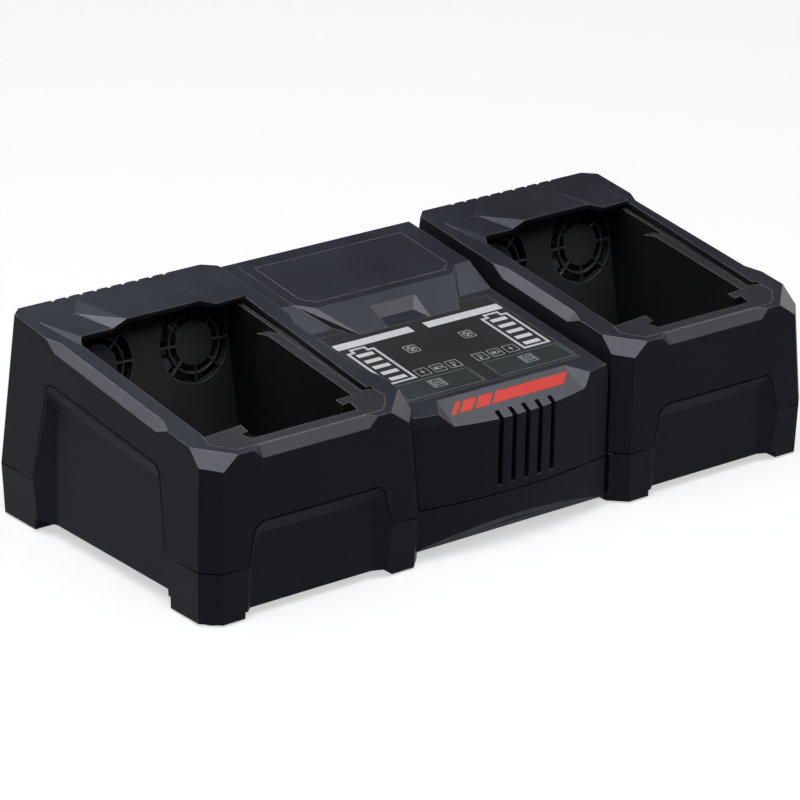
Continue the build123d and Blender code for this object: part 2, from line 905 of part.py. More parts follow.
def make_fan_panel(side):
    """Leaning wall behind a pocket, with a grille of rings and spokes for each fan."""
    place = fan_plane(side)
    lean = math.radians(fan_lean)
    width = bay_width - opening_left - tub_right + 2 * tub_wall
    middle = (opening_left - tub_right) / 2
    low = (tub_floor - tub_wall - place.origin.Z) / math.cos(lean)
    with BuildPart() as sheet:
        with BuildSketch(place):
            with Locations((middle, low)):
                Rectangle(width, rim_front_height, align=(Align.CENTER, Align.MIN))
        extrude(amount=-fan_wall)
    crowns = []
    for corners in hood_pieces(side, hood_skin + seat, forward=1.0, body=rim_depth):
        with BuildPart() as crown:
            add(sheet.part)
            ConvexPolyhedron(corners, mode=Mode.INTERSECT)
        crowns.append(crown.part)
    with BuildPart() as panel:
        add(sheet.part)
        extrude(sloped_slab(roof + seat, very_high), amount=far, both=True, mode=Mode.INTERSECT)
        for crown in crowns:
            add(crown)
        with BuildSketch(place):
            with Locations((-fan_offset, 0), (fan_offset, 0)):
                Circle(grille_radius)
        extrude(amount=-fan_wall, mode=Mode.SUBTRACT)
        reach = grille_radius - hub_radius
        with BuildSketch(place):
            with Locations((-fan_offset, 0), (fan_offset, 0)):
                Circle(hub_radius)
                Circle(ring_radius + bar_width / 2)
                Circle(ring_radius - bar_width / 2, mode=Mode.SUBTRACT)
                Circle(hub_radius)
                with PolarLocations(hub_radius + reach / 2, spokes, start_angle=spoke_turn):
                    Rectangle(reach + bar_width, bar_width)
        extrude(amount=-fan_wall)
    return panel.part


def make_fan_frame(place):
    """Square frame of an axial fan, with its motor mount, struts and bearing bush."""
    back = place.offset(-fan_wall)
    mount_start = back.offset(mount_depth - fan_depth)
    with BuildPart() as frame:
        with BuildSketch(back):
            RectangleRounded(fan_size, fan_size, fan_hole)
            Circle(fan_bore, mode=Mode.SUBTRACT)
            with GridLocations(fan_hole_pitch, fan_hole_pitch, 2, 2):
                Circle(fan_hole, mode=Mode.SUBTRACT)
        extrude(amount=-fan_depth)
        with BuildSketch(mount_start):
            Circle(rotor_hub)
            with PolarLocations((fan_bore + rotor_hub) / 2, struts, start_angle=90):
                Rectangle(fan_bore - rotor_hub + strut_width, strut_width)
        extrude(amount=-mount_depth)
        with BuildSketch(mount_start):
            Circle(shaft_radius + bearing_clearance)
        extrude(amount=-mount_depth, mode=Mode.SUBTRACT)
    return frame.part


def vane_section(back, angle, radius, chord):
    """Section of a rotor blade at a radius, turned to its pitch."""
    turn = math.radians(angle)
    radial = back.x_dir * math.cos(turn) + back.y_dir * math.sin(turn)
    tangent = back.y_dir * math.cos(turn) - back.x_dir * math.sin(turn)
    axis = back.z_dir
    centre = back.origin + radial * radius - axis * (rotor_gap + rotor_depth / 2)
    tilt = math.radians(vane_pitch)
    along = tangent * math.cos(tilt) + axis * math.sin(tilt)
    with BuildSketch(Plane(origin=centre, x_dir=along, z_dir=radial)) as section:
        Rectangle(chord, vane_thickness)
    return section.sketch


def make_rotor(place):
    """Fan rotor: hub, pitched blades and the shaft that runs in the frame's bush."""
    back = place.offset(-fan_wall)
    with BuildPart() as rotor:
        with BuildSketch(back.offset(-rotor_gap)):
            Circle(rotor_hub)
        extrude(amount=-rotor_depth)
        with BuildSketch(back.offset(-rotor_gap - rotor_depth / 2)):
            Circle(shaft_radius)
        extrude(amount=rotor_gap + rotor_depth / 2 - fan_depth)
        for index in range(rotor_blades):
            angle = 360 * index / rotor_blades
            root = vane_section(back, angle, rotor_hub - vane_thickness, vane_root)
            tip = vane_section(back, angle, rotor_radius, vane_tip)
            loft([root, tip], ruled=True)
    return rotor.part


# ---------------------------------------------------------------- charging contacts


def contact_places():
    """Offsets of the contact blades from the middle of the contact block."""
    return [contact_pitch * (index - (contacts - 1) / 2) for index in range(contacts)]


def contact_middle(side):
    """X between the two rails."""
    return (from_left(side, 34.9) + from_right(side, 31.7)) / 2


def make_contact_block(side):
    """Slotted block at the foot of the rails, which shields the contact blades."""
    x = contact_middle(side)
    start = behind(tub_front + seat)
    end = start + contact_depth
    top = tub_floor + contact_height
    with BuildPart() as body:
        block((x - contact_width / 2, start, tub_floor), (x + contact_width / 2, end, top))
        rear_edges = body.edges().filter_by(Axis.X).group_by(Axis.Z)[-1]
        chamfer(rear_edges.sort_by(Axis.Y)[-1], strip_height)
        for place in contact_places():
            low = (x + place - blade_slot / 2, end - blade_length - strip_height, tub_floor)
            block(low, (x + place + blade_slot / 2, end + seat, top), Mode.SUBTRACT)
        reach = contact_pitch * (contacts - 1) / 2 + blade_slot / 2
        low = (x - reach, end - blade_length - strip_height, tub_floor)
        high = (x + reach, end - strip_height, tub_floor + strip_height + seat)
        block(low, high, Mode.SUBTRACT)
    return body.part


def make_contacts(side):
    """Row of contact blades on their common strip."""
    x = contact_middle(side)
    end = behind(tub_front + seat) + contact_depth
    start = end - blade_length - strip_height + seat
    with BuildPart() as comb:
        reach = contact_pitch * (contacts - 1) / 2 + blade_thickness / 2
        low = (x - reach, start, tub_floor)
        block(low, (x + reach, end - strip_height - seat, tub_floor + strip_height))
        for place in contact_places():
            low = (x + place - blade_thickness / 2, start, tub_floor)
            high = (x + place + blade_thickness / 2, start + blade_length, tub_floor + blade_height)
            block(low, high)
    return comb.part


# ---------------------------------------------------------------- middle section


def middle_outline():
    """Side outline of the middle section: deck, step and plateau."""
    steep = 2 * back_fall
    end = depth - plateau_back
    with BuildSketch(Plane.YZ) as outline:
        Polygon(
            (behind(-steep), 0),
            (behind(-steep), rim_height(-steep, deck_drop)),
            (behind(step_foot), rim_height(step_foot, deck_drop)),
            (behind(plateau_front), rim_height(plateau_front, plateau_drop)),
            (ahead(plateau_back), rim_height(end, plateau_drop)),
            (ahead(plateau_back - back_fall), rim_height(end, plateau_drop + back_fall)),
            (ahead(plateau_back - steep), rim_height(end, plateau_drop + 3 * back_fall)),
            (ahead(plateau_back - steep), 0),
            align=None,
        )
    return outline.sketch


def fascia_low():
    """Height at which the fascia's plane meets the front face."""
    return rim_height(fascia_back, deck_drop) - run_in(fascia_slope, fascia_back)


def middle_hollow_outline():
    """Side outline of the hollow under the middle section's tops."""
    tilt = math.radians(fascia_slope)
    end = depth - plateau_back
    low = fascia_low() - roof / math.cos(tilt)
    meet = (rim_height(0, deck_drop + roof) - low) / (math.tan(tilt) - rise)
    steep = 2 * back_fall
    with BuildSketch(Plane.YZ) as outline:
        Polygon(
            (behind(-steep), 0),
            (behind(-steep), low - steep * math.tan(tilt)),
            (behind(meet), rim_height(meet, deck_drop + roof)),
            (behind(step_foot + roof), rim_height(step_foot + roof, deck_drop + roof)),
            (behind(plateau_front + roof), rim_height(plateau_front + roof, plateau_drop + roof)),
            (ahead(plateau_back + roof), rim_height(end - roof, plateau_drop + roof)),
            (ahead(plateau_back - roof), rim_height(end, plateau_drop + roof + back_fall)),
            (ahead(plateau_back - steep), 0),
            align=None,
        )
    return outline.sketch


def on_plane(x, distance, drop, above=0.0):
    """Point on one of the sloped planes."""
    return Vector(x, behind(distance), rim_height(distance, drop) + above)


def prow_corners(body=0.0):
    """Corners of the prow that stands forward of the step."""
    corners = []
    for face in (-1, 1):
        corners.append(on_plane(face * (prow_top_half + prow_side), plateau_front, plateau_drop))
        corners.append(on_plane(face * prow_top_half, prow_top, plateau_drop))
        corners.append(on_plane(face * (prow_foot_half + prow_side), step_foot, deck_drop))
        corners.append(on_plane(face * prow_foot_half, prow_foot, deck_drop))
    return corners + [corner - Vector(0, 0, body) for corner in corners]


def notch_corners():
    """Corners of the finger notch in the prow."""
    above = 8.0
    before = prow_foot - above
    corners = []
    for x, across, distance in ((-14.5, -15.2, before), (14.4, 16.6, before)):
        corners.append(on_plane(x, distance, deck_drop))
        corners.append(on_plane(across, distance, deck_drop, above))
    for x, across in ((-12.5, -15.2), (9.5, 16.6)):
        corners.append(on_plane(x, 95.3, deck_drop))
        corners.append(on_plane(across, 102.4, deck_drop, above))
    return corners


def fascia_cutter():
    """Corners of the wedge that makes the sloped fascia and its two end facets."""
    before = -6.0
    low = fascia_low() + run_in(fascia_slope, before)
    over = 2 * back_fall
    corners = []
    for x, low_x, side_x in ((-38.95, -39.5, -54.2), (39.75, 42.2, 53.4)):
        top = on_plane(x, fascia_back, deck_drop)
        corners.append(top)
        corners.append(top + Vector(0, 0, over))
        corners.append(Vector(low_x, behind(before), low))
        corners.append(on_plane(side_x, before, deck_drop))
        corners.append(on_plane(side_x, before, deck_drop, over))
    return corners


def fascia_plane():
    """Plane of the fascia. Its Y runs up the fascia from below the front face."""
    tilt = math.radians(fascia_slope)
    normal = (0, -math.sin(tilt), math.cos(tilt))
    return Plane(origin=(0, front, fascia_low()), x_dir=(1, 0, 0), z_dir=normal)


def accent_outlines(margin=0.0):
    """Outlines of the slanted accent blocks, on the fascia's plane."""
    length = math.cos(math.radians(fascia_slope))
    low = accent_front / length
    high = accent_back / length
    outlines = []
    start = accent_start
    for width in accent_widths:
        left = start + margin
        right = start + width - margin
        outlines.append(
            [
                (left, low + margin),
                (right, low + margin),
                (right + accent_slant, high - margin),
                (left + accent_slant, high - margin),
            ]
        )
        start += width + accent_gap
    return outlines


def film_outline(margin=0.0):
    """Outline of the display film on the deck, cut back round the prow."""
    edge = film_half - margin
    back = up_slope(film_back) - margin
    knee = prow_foot_half + prow_side * (film_back - prow_foot) / (step_foot - prow_foot)
    low = up_slope(prow_foot) - 2 * margin
    return [
        (-edge, up_slope(film_front) + margin),
        (edge, up_slope(film_front) + margin),
        (edge, back),
        (knee + 2 * margin, back),
        (prow_foot_half, low),
        (-prow_foot_half, low),
        (-knee - 2 * margin, back),
        (-edge, back),
    ]


def rectangle_on(left, right, start, end):
    """Rectangle on the current sloped plane, between two sides and two distances from the front."""
    low = up_slope(start)
    high = up_slope(end)
    with Locations(((left + right) / 2, (low + high) / 2)):
        Rectangle(right - left, high - low)


def key_box(face, margin=0.0):
    """Sides and ends of a mode key on the deck."""
    inner = key_gap / 2 + margin
    outer = film_half - key_margin - margin
    left, right = sorted((face * inner, face * outer))
    return left, right, key_front + margin, key_back - margin


def bar_box(face, margin=0.0):
    """Sides and ends of a light bar on the deck."""
    left, right = sorted((face * (bar_inner + margin), face * (bar_outer - margin)))
    return left, right, bar_front + margin, bar_back - margin


def gauge_boxes(face, margin=0.0):
    """Sides and ends of a charge gauge's segments on the deck."""
    left, right = sorted((face * (gauge_inner + margin), face * (gauge_outer - margin)))
    pitch = (gauge_back - gauge_front + gauge_gap) / gauge_steps
    boxes = []
    for index in range(gauge_steps):
        start = gauge_front + pitch * index
        boxes.append((left, right, start + margin, start + pitch - gauge_gap - margin))
    return boxes


def spine_box(face, box, margin=0.0):
    """Sides and ends of the light guide's spine under a bar or a gauge."""
    middle = (box[0] + box[1]) / 2
    reach = spine_width / 2 - margin
    return middle - reach, middle + reach, box[2] + margin, box[3] - margin


def gauge_span(face):
    """Sides and ends of a whole gauge."""
    boxes = gauge_boxes(face)
    return boxes[0][0], boxes[0][1], boxes[0][2], boxes[-1][3]


def bar_spine(face, margin=0.0):
    """Sides and ends of the light guide's spine under a light bar."""
    left, right, start, end = bar_box(face)
    inset = spine_width
    return left + inset + margin, right - inset - margin, start + margin, end - margin


def key_middle(face):
    """Middle of a key, on the deck's plane."""
    left, right, start, end = key_box(face)
    return (left + right) / 2, up_slope((start + end) / 2)


def plate_outline(margin=0.0):
    """Outline of the nameplate on the plateau."""
    left = plate_middle - plate_half + margin
    right = plate_middle + plate_half - margin
    start = up_slope(plate_front) + margin
    end = up_slope(plate_back) - margin
    corner = plate_corner
    return [
        (left + corner, start),
        (right - corner, start),
        (right, start + corner),
        (right, end),
        (left, end),
        (left, start + corner),
    ]


def post_places():
    """Places of the display board's posts, on the deck's plane."""
    places = []
    for face in (-1, 1):
        for distance in (film_front + 2 * post_radius, gauge_back - post_radius):
            places.append((face * (display_half - board_margin), up_slope(distance)))
    return places


def brow():
    """Everything behind the bowed front, which leans back above a level line under the deck."""
    start = rim_height(0, deck_drop + brow_drop)
    angle = math.degrees(math.atan(brow_inset / brow_drop))
    with BuildPart() as body:
        extrude(bowed_plan(start, far, far), amount=rim_front_height, taper=angle)
        block((-far, -far, 0), (far, far, start))
    return body.part


def make_middle():
    """Upper shell between the bays: bowed front with vents, sloped fascia, deck, step and prow."""
    left_block = tapered_block(-1, inset=-play)
    left_wall = tapered_block(-1, inset=-play - wall, drop=-wall)
    deck = sloped_plane(deck_drop)
    with BuildPart() as middle:
        start = parting_height + seam
        extrude(middle_plan(start, -middle_half, middle_right), amount=very_high)
        extrude(middle_outline(), amount=far, both=True, mode=Mode.INTERSECT)
        ConvexPolyhedron(prow_corners(body=roof))
        add(brow(), mode=Mode.INTERSECT)
        add(left_block, mode=Mode.SUBTRACT)
        ConvexPolyhedron(fascia_cutter(), mode=Mode.SUBTRACT)
        ConvexPolyhedron(notch_corners(), mode=Mode.SUBTRACT)
    with BuildPart() as hollow:
        extrude(middle_plan(0, -bay_centre, middle_right - wall, wall), amount=very_high)
        extrude(middle_hollow_outline(), amount=far, both=True, mode=Mode.INTERSECT)
        add(left_wall, mode=Mode.SUBTRACT)
    with BuildPart() as shell:
        add(middle.part)
        add(hollow.part, mode=Mode.SUBTRACT)
        # posts for the display board, under the deck
        with BuildSketch(sloped_plane(deck_drop + roof)):
            with Locations(*post_places()):
                Circle(post_radius)
        extrude(amount=-board_drop)
        # vents in the bowed front
        for index in range(front_vents):
            x = bow_middle + vent_pitch * (index - (front_vents - 1) / 2)
            low = (x - vent_width / 2, front - wall, front_vent_bottom)
            block(low, (x + vent_width / 2, behind(front_vent_depth), very_high), Mode.SUBTRACT)
        # recesses of the film and the keys
        with BuildSketch(deck):
            Polygon(*film_outline(), align=None)
        extrude(amount=-film, mode=Mode.SUBTRACT)
        with BuildSketch(deck):
            for face in (-1, 1):
                rectangle_on(*key_box(face, -play))
        extrude(amount=-film - key_travel - seat, mode=Mode.SUBTRACT)
        # holes for the keys' stems and the light guides
        with BuildSketch(deck):
            for face in (-1, 1):
                with Locations(key_middle(face)):
                    Circle(stem_radius + play)
                rectangle_on(*bar_spine(face, -fit))
                rectangle_on(*spine_box(face, gauge_span(face), -fit))
        extrude(amount=-2 * roof, mode=Mode.SUBTRACT)
        # seats of the accent blocks and the nameplate
        with BuildSketch(fascia_plane()):
            for points in accent_outlines():
                Polygon(*points, align=None)
        extrude(amount=-accent_depth, mode=Mode.SUBTRACT)
        with BuildSketch(sloped_plane(plateau_drop)):
            Polygon(*plate_outline(), align=None)
        extrude(amount=-plate_depth, mode=Mode.SUBTRACT)
        # groove beside the nameplate
        with BuildSketch(sloped_plane(plateau_drop)):
            rectangle_on(groove_place, groove_place + groove_width, plateau_front, depth - plateau_back)
        extrude(amount=-groove_width, mode=Mode.SUBTRACT)
        # hole for the mains gland
        with BuildSketch(Plane.XZ.offset(front)):
            with Locations((0, gland_height)):
                Circle(gland_sleeve)
        extrude(amount=2 * centre_back_inset, mode=Mode.SUBTRACT)
    return shell.part


def make_film():
    """Display film on the deck, with windows for the keys and the light guides."""
    deck = sloped_plane(deck_drop)
    with BuildPart() as sheet:
        with BuildSketch(deck):
            Polygon(*film_outline(fit), align=None)
        extrude(amount=-film)
        with BuildSketch(deck):
            for face in (-1, 1):
                rectangle_on(*key_box(face, -play))
                rectangle_on(*bar_box(face))
                for box in gauge_boxes(face):
                    rectangle_on(*box)
        extrude(amount=-film, mode=Mode.SUBTRACT)
    return sheet.part


def make_key(face):
    """Mode key, flush with the film, with its stem down to the switch."""
    deck = sloped_plane(deck_drop)
    length = roof + board_drop - switch_height - key_travel - seat
    with BuildPart() as key:
        with BuildSketch(deck):
            rectangle_on(*key_box(face))
        extrude(amount=-film)
        with BuildSketch(deck):
            with Locations(key_middle(face)):
                Circle(stem_radius)
        extrude(amount=-length)
    return key.part


def make_light_bar(face):
    """Light guide of a bay's status bar."""
    deck = sloped_plane(deck_drop)
    with BuildPart() as bar:
        with BuildSketch(deck):
            rectangle_on(*bar_box(face, fit / 2))
        extrude(amount=-film)
        with BuildSketch(deck):
            rectangle_on(*bar_spine(face, fit / 2))
        extrude(amount=seat - roof - board_drop)
    return bar.part


def make_gauge(face):
    """Light guide of a bay's charge gauge: five segments on one spine."""
    deck = sloped_plane(deck_drop)
    with BuildPart() as gauge:
        with BuildSketch(deck):
            for box in gauge_boxes(face, fit / 2):
                rectangle_on(*box)
        extrude(amount=-film)
        with BuildSketch(deck.offset(-film)):
            rectangle_on(*spine_box(face, gauge_span(face), fit / 2))
        extrude(amount=film + seat - roof - board_drop)
    return gauge.part


def make_accent(points):
    """Slanted accent block, flush with the fascia."""
    with BuildPart() as accent:
        with BuildSketch(fascia_plane()):
            Polygon(*points, align=None)
        extrude(amount=-accent_depth)
    return accent.part


def make_nameplate():
    """Bare nameplate on the plateau."""
    with BuildPart() as plate:
        with BuildSketch(sloped_plane(plateau_drop)):
            Polygon(*plate_outline(fit), align=None)
        extrude(amount=-plate_depth)
    return plate.part


# ---------------------------------------------------------------- electronics


def board_plane():
    """Upper face of the display board, under the deck's posts."""
    return sloped_plane(deck_drop + roof).offset(-board_drop)


def make_display_board():
    """Circuit board under the deck."""
    with BuildPart() as display:
        with BuildSketch(board_plane()):
            rectangle_on(-display_half, display_half, film_front, prow_foot)
        extrude(amount=-board)
    return display.part


def make_switch(face):
    """Tact switch under a key."""
    with BuildPart() as switch:
        with BuildSketch(board_plane()):
            with Locations(key_middle(face)):
                Rectangle(switch_size, switch_size)
        extrude(amount=switch_height - 1.2)
        with BuildSketch(board_plane()):
            with Locations(key_middle(face)):
                Circle(stem_radius - 0.6)
        extrude(amount=switch_height)
    return switch.part


def make_main_board():
    """Power board on the base's posts."""
    top = floor_top + stand_off
    with BuildPart() as power:
        low = (-main_board_half, behind(main_board_front), top)
        block(low, (main_board_half, ahead(main_board_back), top + board))
    return power.part


def make_transformer(x, distance):
    """Transformer with its core, its winding and its pins' base."""
    base = floor_top + stand_off + board
    half = transformer_size / 2
    y = behind(distance)
    with BuildPart() as transformer:
        block((x - half, y - half, base), (x + half, y + half, base + winding_margin))
        low = (x - half + winding_margin, y - half, base)
        block(low, (x + half - winding_margin, y + half, base + transformer_height))
        low = (x - half, y - half + winding_margin, base + winding_margin)
        high = (x + half, y + half - winding_margin, base + transformer_height - winding_margin)
        block(low, high)
        edges = transformer.edges().filter_by(Axis.Y).group_by(Axis.Z)[-1]
        chamfer(edges, winding_margin / 4)
    return transformer.part


def make_capacitor(x, distance):
    """Upright reservoir capacitor."""
    base = floor_top + stand_off + board
    with BuildPart() as capacitor:
        with BuildSketch(Plane.XY.offset(base)):
            with Locations((x, behind(distance))):
                Circle(capacitor_radius)
        extrude(amount=capacitor_height)
        chamfer(capacitor.edges().filter_by(GeomType.CIRCLE).sort_by(Axis.Z)[-1], capacitor_radius / 9)
    return capacitor.part


def make_heat_sink(face):
    """Finned heat sink along one side of the power board."""
    base = floor_top + stand_off + board
    start = behind(main_board_front + wall)
    outer = main_board_half - wall
    with BuildPart() as sink:
        inner = outer - sink_base
        left, right = sorted((face * inner, face * outer))
        block((left, start, base), (right, start + sink_length, base + sink_height))
        for index in range(fins):
            z = base + fin_thickness + fin_pitch * index
            left, right = sorted((face * (inner - 2 * sink_base), face * inner))
            block((left, start, z), (right, start + sink_length, z + fin_thickness))
    return sink.part


def make_gland():
    """Mains gland in the back wall: flange, sleeve through the wall and a snap collar."""
    back = ahead(centre_back_inset)
    with BuildPart() as gland:
        with BuildSketch(Plane.XZ.offset(-back)):
            with Locations((0, gland_height)):
                Circle(gland_flange)
        extrude(amount=-gland_head)
        chamfer(gland.edges().sort_by(Axis.Y)[-1], gland_head / 3)
        with BuildSketch(Plane.XZ.offset(-back)):
            with Locations((0, gland_height)):
                Circle(gland_sleeve - seat)
        extrude(amount=gland_length - gland_head)
        with BuildSketch(Plane.XZ.offset(-back - gland_head)):
            with Locations((0, gland_height)):
                Circle(gland_bore)
        extrude(amount=gland_length, mode=Mode.SUBTRACT)
    return gland.part


# ---------------------------------------------------------------- all pieces


save(make_base(), "lower_housing")
for place, name in zip(pad_places(), ("front_left", "back_left", "front_right", "back_right")):
    save(make_pad(place), f"{name}_foot")
for side, name in ((-1, "left"), (1, "right")):
    save(make_bay_housing(side), f"{name}_bay_housing")
    save(make_tub(side), f"{name}_bay_tub")
    save(make_fan_panel(side), f"{name}_fan_panel")
    save(make_contact_block(side), f"{name}_contact_block")
    save(make_contacts(side), f"{name}_contacts")
    for column, number in ((-1, 1), (1, 2)):
        place = fan_plane(side, column * fan_offset)
        save(make_fan_frame(place), f"{name}_fan_{number}_frame")
        save(make_rotor(place), f"{name}_fan_{number}_rotor")
    save(make_key(side), f"{name}_mode_key")
    save(make_switch(side), f"{name}_key_switch")
    save(make_light_bar(side), f"{name}_light_bar")
    save(make_gauge(side), f"{name}_charge_gauge")
    save(make_transformer(side * transformer_place[0], transformer_place[1]), f"{name}_transformer")
    save(make_capacitor(side * capacitor_place[0], capacitor_place[1]), f"{name}_capacitor")
    save(make_heat_sink(side), f"{name}_heat_sink")
save(make_middle(), "centre_housing")
save(make_film(), "display_film")
save(make_nameplate(), "nameplate")
for number, points in enumerate(accent_outlines(seat), start=1):
    save(make_accent(points), f"accent_{number}")
save(make_display_board(), "display_board")
save(make_main_board(), "main_board")
save(make_gland(), "mains_gland")
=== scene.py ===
"""Finishes, printed graphics, screws and a dark bead of painted shade in the seam of a dual-bay pack
charger, built on its frame.
"""

import json
import math

import bmesh
import bpy
from mathutils import Matrix, Vector
from mathutils.bvhtree import BVHTree


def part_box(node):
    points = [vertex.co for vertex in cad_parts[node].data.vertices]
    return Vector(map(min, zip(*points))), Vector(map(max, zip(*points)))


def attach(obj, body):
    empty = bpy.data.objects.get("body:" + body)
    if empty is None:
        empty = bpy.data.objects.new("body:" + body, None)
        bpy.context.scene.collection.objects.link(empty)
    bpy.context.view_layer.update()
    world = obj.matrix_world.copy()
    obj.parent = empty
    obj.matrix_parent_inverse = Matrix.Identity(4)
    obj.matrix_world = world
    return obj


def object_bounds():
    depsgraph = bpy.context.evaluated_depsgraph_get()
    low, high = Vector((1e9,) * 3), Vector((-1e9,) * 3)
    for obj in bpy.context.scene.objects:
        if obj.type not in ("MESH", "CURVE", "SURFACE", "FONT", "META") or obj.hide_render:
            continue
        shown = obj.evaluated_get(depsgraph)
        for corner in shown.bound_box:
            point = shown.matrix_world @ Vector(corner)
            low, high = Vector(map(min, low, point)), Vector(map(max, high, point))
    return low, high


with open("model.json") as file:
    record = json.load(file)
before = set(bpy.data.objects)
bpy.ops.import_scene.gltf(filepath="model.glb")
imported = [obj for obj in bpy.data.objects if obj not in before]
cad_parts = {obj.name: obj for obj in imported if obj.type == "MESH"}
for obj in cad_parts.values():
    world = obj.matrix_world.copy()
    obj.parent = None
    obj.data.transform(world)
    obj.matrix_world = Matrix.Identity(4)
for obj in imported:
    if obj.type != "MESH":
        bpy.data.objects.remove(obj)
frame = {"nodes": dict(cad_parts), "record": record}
cad_low, cad_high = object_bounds()

MM = 0.001
FRONT = cad_low.y
TOP_SLOPE = math.radians(8.1)  # the deck, the rims and the plateau share it

# ---------------------------------------------------------------- camera, floor and lamps

CAMERA_TARGET = Vector((-10.764, -5.085, 45.980)) * MM
CAMERA_DISTANCE = 2006.673 * MM
CAMERA_AZIMUTH = math.radians(-38.7576)
CAMERA_ELEVATION = math.radians(21.6694)
CAMERA_ROLL = math.radians(1.16955)
CAMERA_LENS = 185.0
SENSOR_WIDTH = 36.0

# Lamps, floor and view, in metres. A lamp has its place, aim, size and watts.
VIEW_REACH = 50
OVERHEAD_LAMP = ((-0.35, -0.25, 1.9), (0, 0, 0.05), (2.2, 2.2), 21)
SHEEN_LAMPS = {  # these show in reflections only
    "left_sheen": ((-0.95, 0.30, 1.5), (-0.95, 0.30, 0), (2.2, 3.4), 680),
    "front_sheen": ((0.95, -0.82, 1.5), (0.95, -0.82, 0), (2.3, 1.7), 275),
    "right_sheen": ((2.1, 0.55, 0.50), (0, 0, 0.08), (1.2, 0.8), 14),
    "back_sheen": ((-0.40, 2.1, 0.62), (0, 0, 0.08), (1.0, 0.7), 19),
}
FLOOR_RADIUS = 9.0
FLOOR_SHADE = 0.80
FLOOR_GLOW = 0.57
SKY_COLOUR = (0.86, 0.90, 1.0)
SKY_STRENGTH = 0.2


def make_camera():
    """Long lens from the front left, a little above the rims."""
    away = Vector((
        math.sin(CAMERA_AZIMUTH) * math.cos(CAMERA_ELEVATION),
        -math.cos(CAMERA_AZIMUTH) * math.cos(CAMERA_ELEVATION),
        math.sin(CAMERA_ELEVATION),
    ))
    right = Vector((0, 0, 1)).cross(away).normalized()
    up = away.cross(right)
    rolled_right = right * math.cos(CAMERA_ROLL) + up * math.sin(CAMERA_ROLL)
    rolled_up = up * math.cos(CAMERA_ROLL) - right * math.sin(CAMERA_ROLL)
    data = bpy.data.cameras.new("view")
    data.lens = CAMERA_LENS
    data.sensor_width = SENSOR_WIDTH
    data.clip_end = VIEW_REACH
    camera = bpy.data.objects.new("view", data)
    turn = Matrix((rolled_right, rolled_up, away)).transposed().to_4x4()
    camera.matrix_world = Matrix.Translation(CAMERA_TARGET + away * CAMERA_DISTANCE) @ turn
    bpy.context.scene.collection.objects.link(camera)
    bpy.context.scene.camera = camera


def add_lamp(name, place, aim, size, power):
    """Rectangular soft box at a place, turned towards its aim."""
    data = bpy.data.lights.new(name, "AREA")
    data.shape = "RECTANGLE"
    data.size, data.size_y = size
    data.energy = power
    lamp = bpy.data.objects.new(name, data)
    turn = (Vector(aim) - Vector(place)).to_track_quat("-Z", "Y").to_matrix().to_4x4()
    lamp.matrix_world = Matrix.Translation(place) @ turn
    bpy.context.scene.collection.objects.link(lamp)
    return lamp


def make_lamps():
    """Overhead soft box, and soft boxes that only the sheen of the faces shows."""
    add_lamp("overhead", *OVERHEAD_LAMP)
    for name, settings in SHEEN_LAMPS.items():
        lamp = add_lamp(name, *settings)
        lamp.visible_diffuse = False


def make_stage():
    """Pale floor that keeps a soft shadow, under a pale sky."""
    mesh = bpy.data.meshes.new("floor")
    ring = bmesh.new()
    bmesh.ops.create_circle(ring, cap_ends=True, segments=96, radius=FLOOR_RADIUS)
    ring.to_mesh(mesh)
    ring.free()
    floor = bpy.data.objects.new("floor", mesh)
    bpy.context.scene.collection.objects.link(floor)
    material = bpy.data.materials.new("pale_floor")
    material.use_nodes = True
    nodes, links = material.node_tree.nodes, material.node_tree.links
    nodes.clear()
    output = nodes.new("ShaderNodeOutputMaterial")
    diffuse = nodes.new("ShaderNodeBsdfDiffuse")
    diffuse.inputs["Color"].default_value = (FLOOR_SHADE, FLOOR_SHADE, FLOOR_SHADE, 1)
    glow = nodes.new("ShaderNodeEmission")
    glow.inputs["Color"].default_value = (1, 1, 1, 1)
    links.new(seen_directly(material.node_tree, FLOOR_GLOW), glow.inputs["Strength"])
    total = nodes.new("ShaderNodeAddShader")
    links.new(diffuse.outputs[0], total.inputs[0])
    links.new(glow.outputs[0], total.inputs[1])
    links.new(total.outputs[0], output.inputs["Surface"])
    mesh.materials.append(material)

    world = bpy.data.worlds.new("sky")
    bpy.context.scene.world = world
    world.use_nodes = True
    nodes, links = world.node_tree.nodes, world.node_tree.links
    nodes.clear()
    output = nodes.new("ShaderNodeOutputWorld")
    dim = nodes.new("ShaderNodeBackground")
    dim.inputs["Color"].default_value = (*SKY_COLOUR, 1)
    dim.inputs["Strength"].default_value = SKY_STRENGTH
    links.new(dim.outputs[0], output.inputs["Surface"])


def seen_directly(tree, strength):
    """Strength for camera, glossy and transmitted rays, and none for the rest."""
    path = tree.nodes.new("ShaderNodeLightPath")
    either = math_node(tree, "MAXIMUM", path.outputs["Is Camera Ray"], path.outputs["Is Glossy Ray"])
    any_of = math_node(tree, "MAXIMUM", either, path.outputs["Is Transmission Ray"])
    return math_node(tree, "MULTIPLY", any_of, strength)


# ---------------------------------------------------------------- shader node groups

EDGE_ROUNDING = 0.32
HIGHLIGHT_REACH = 0.6  # how far from an edge the painted highlight reaches
HIGHLIGHT_GAIN = 9.0
HIGHLIGHT_TILT = 0.2  # faces that point less upwards than this get no painted highlight
HIGHLIGHT_TILT_GAIN = 2.2


def new_group(name, inputs, outputs):
    """Empty shader node group with named sockets: (name, kind, default)."""
    group = bpy.data.node_groups.new(name, "ShaderNodeTree")
    for label, kind, value in inputs:
        socket = group.interface.new_socket(name=label, in_out="INPUT", socket_type=kind)
        socket.default_value = value
    for label, kind in outputs:
        group.interface.new_socket(name=label, in_out="OUTPUT", socket_type=kind)
    start = group.nodes.new("NodeGroupInput")
    end = group.nodes.new("NodeGroupOutput")
    return group, start, end


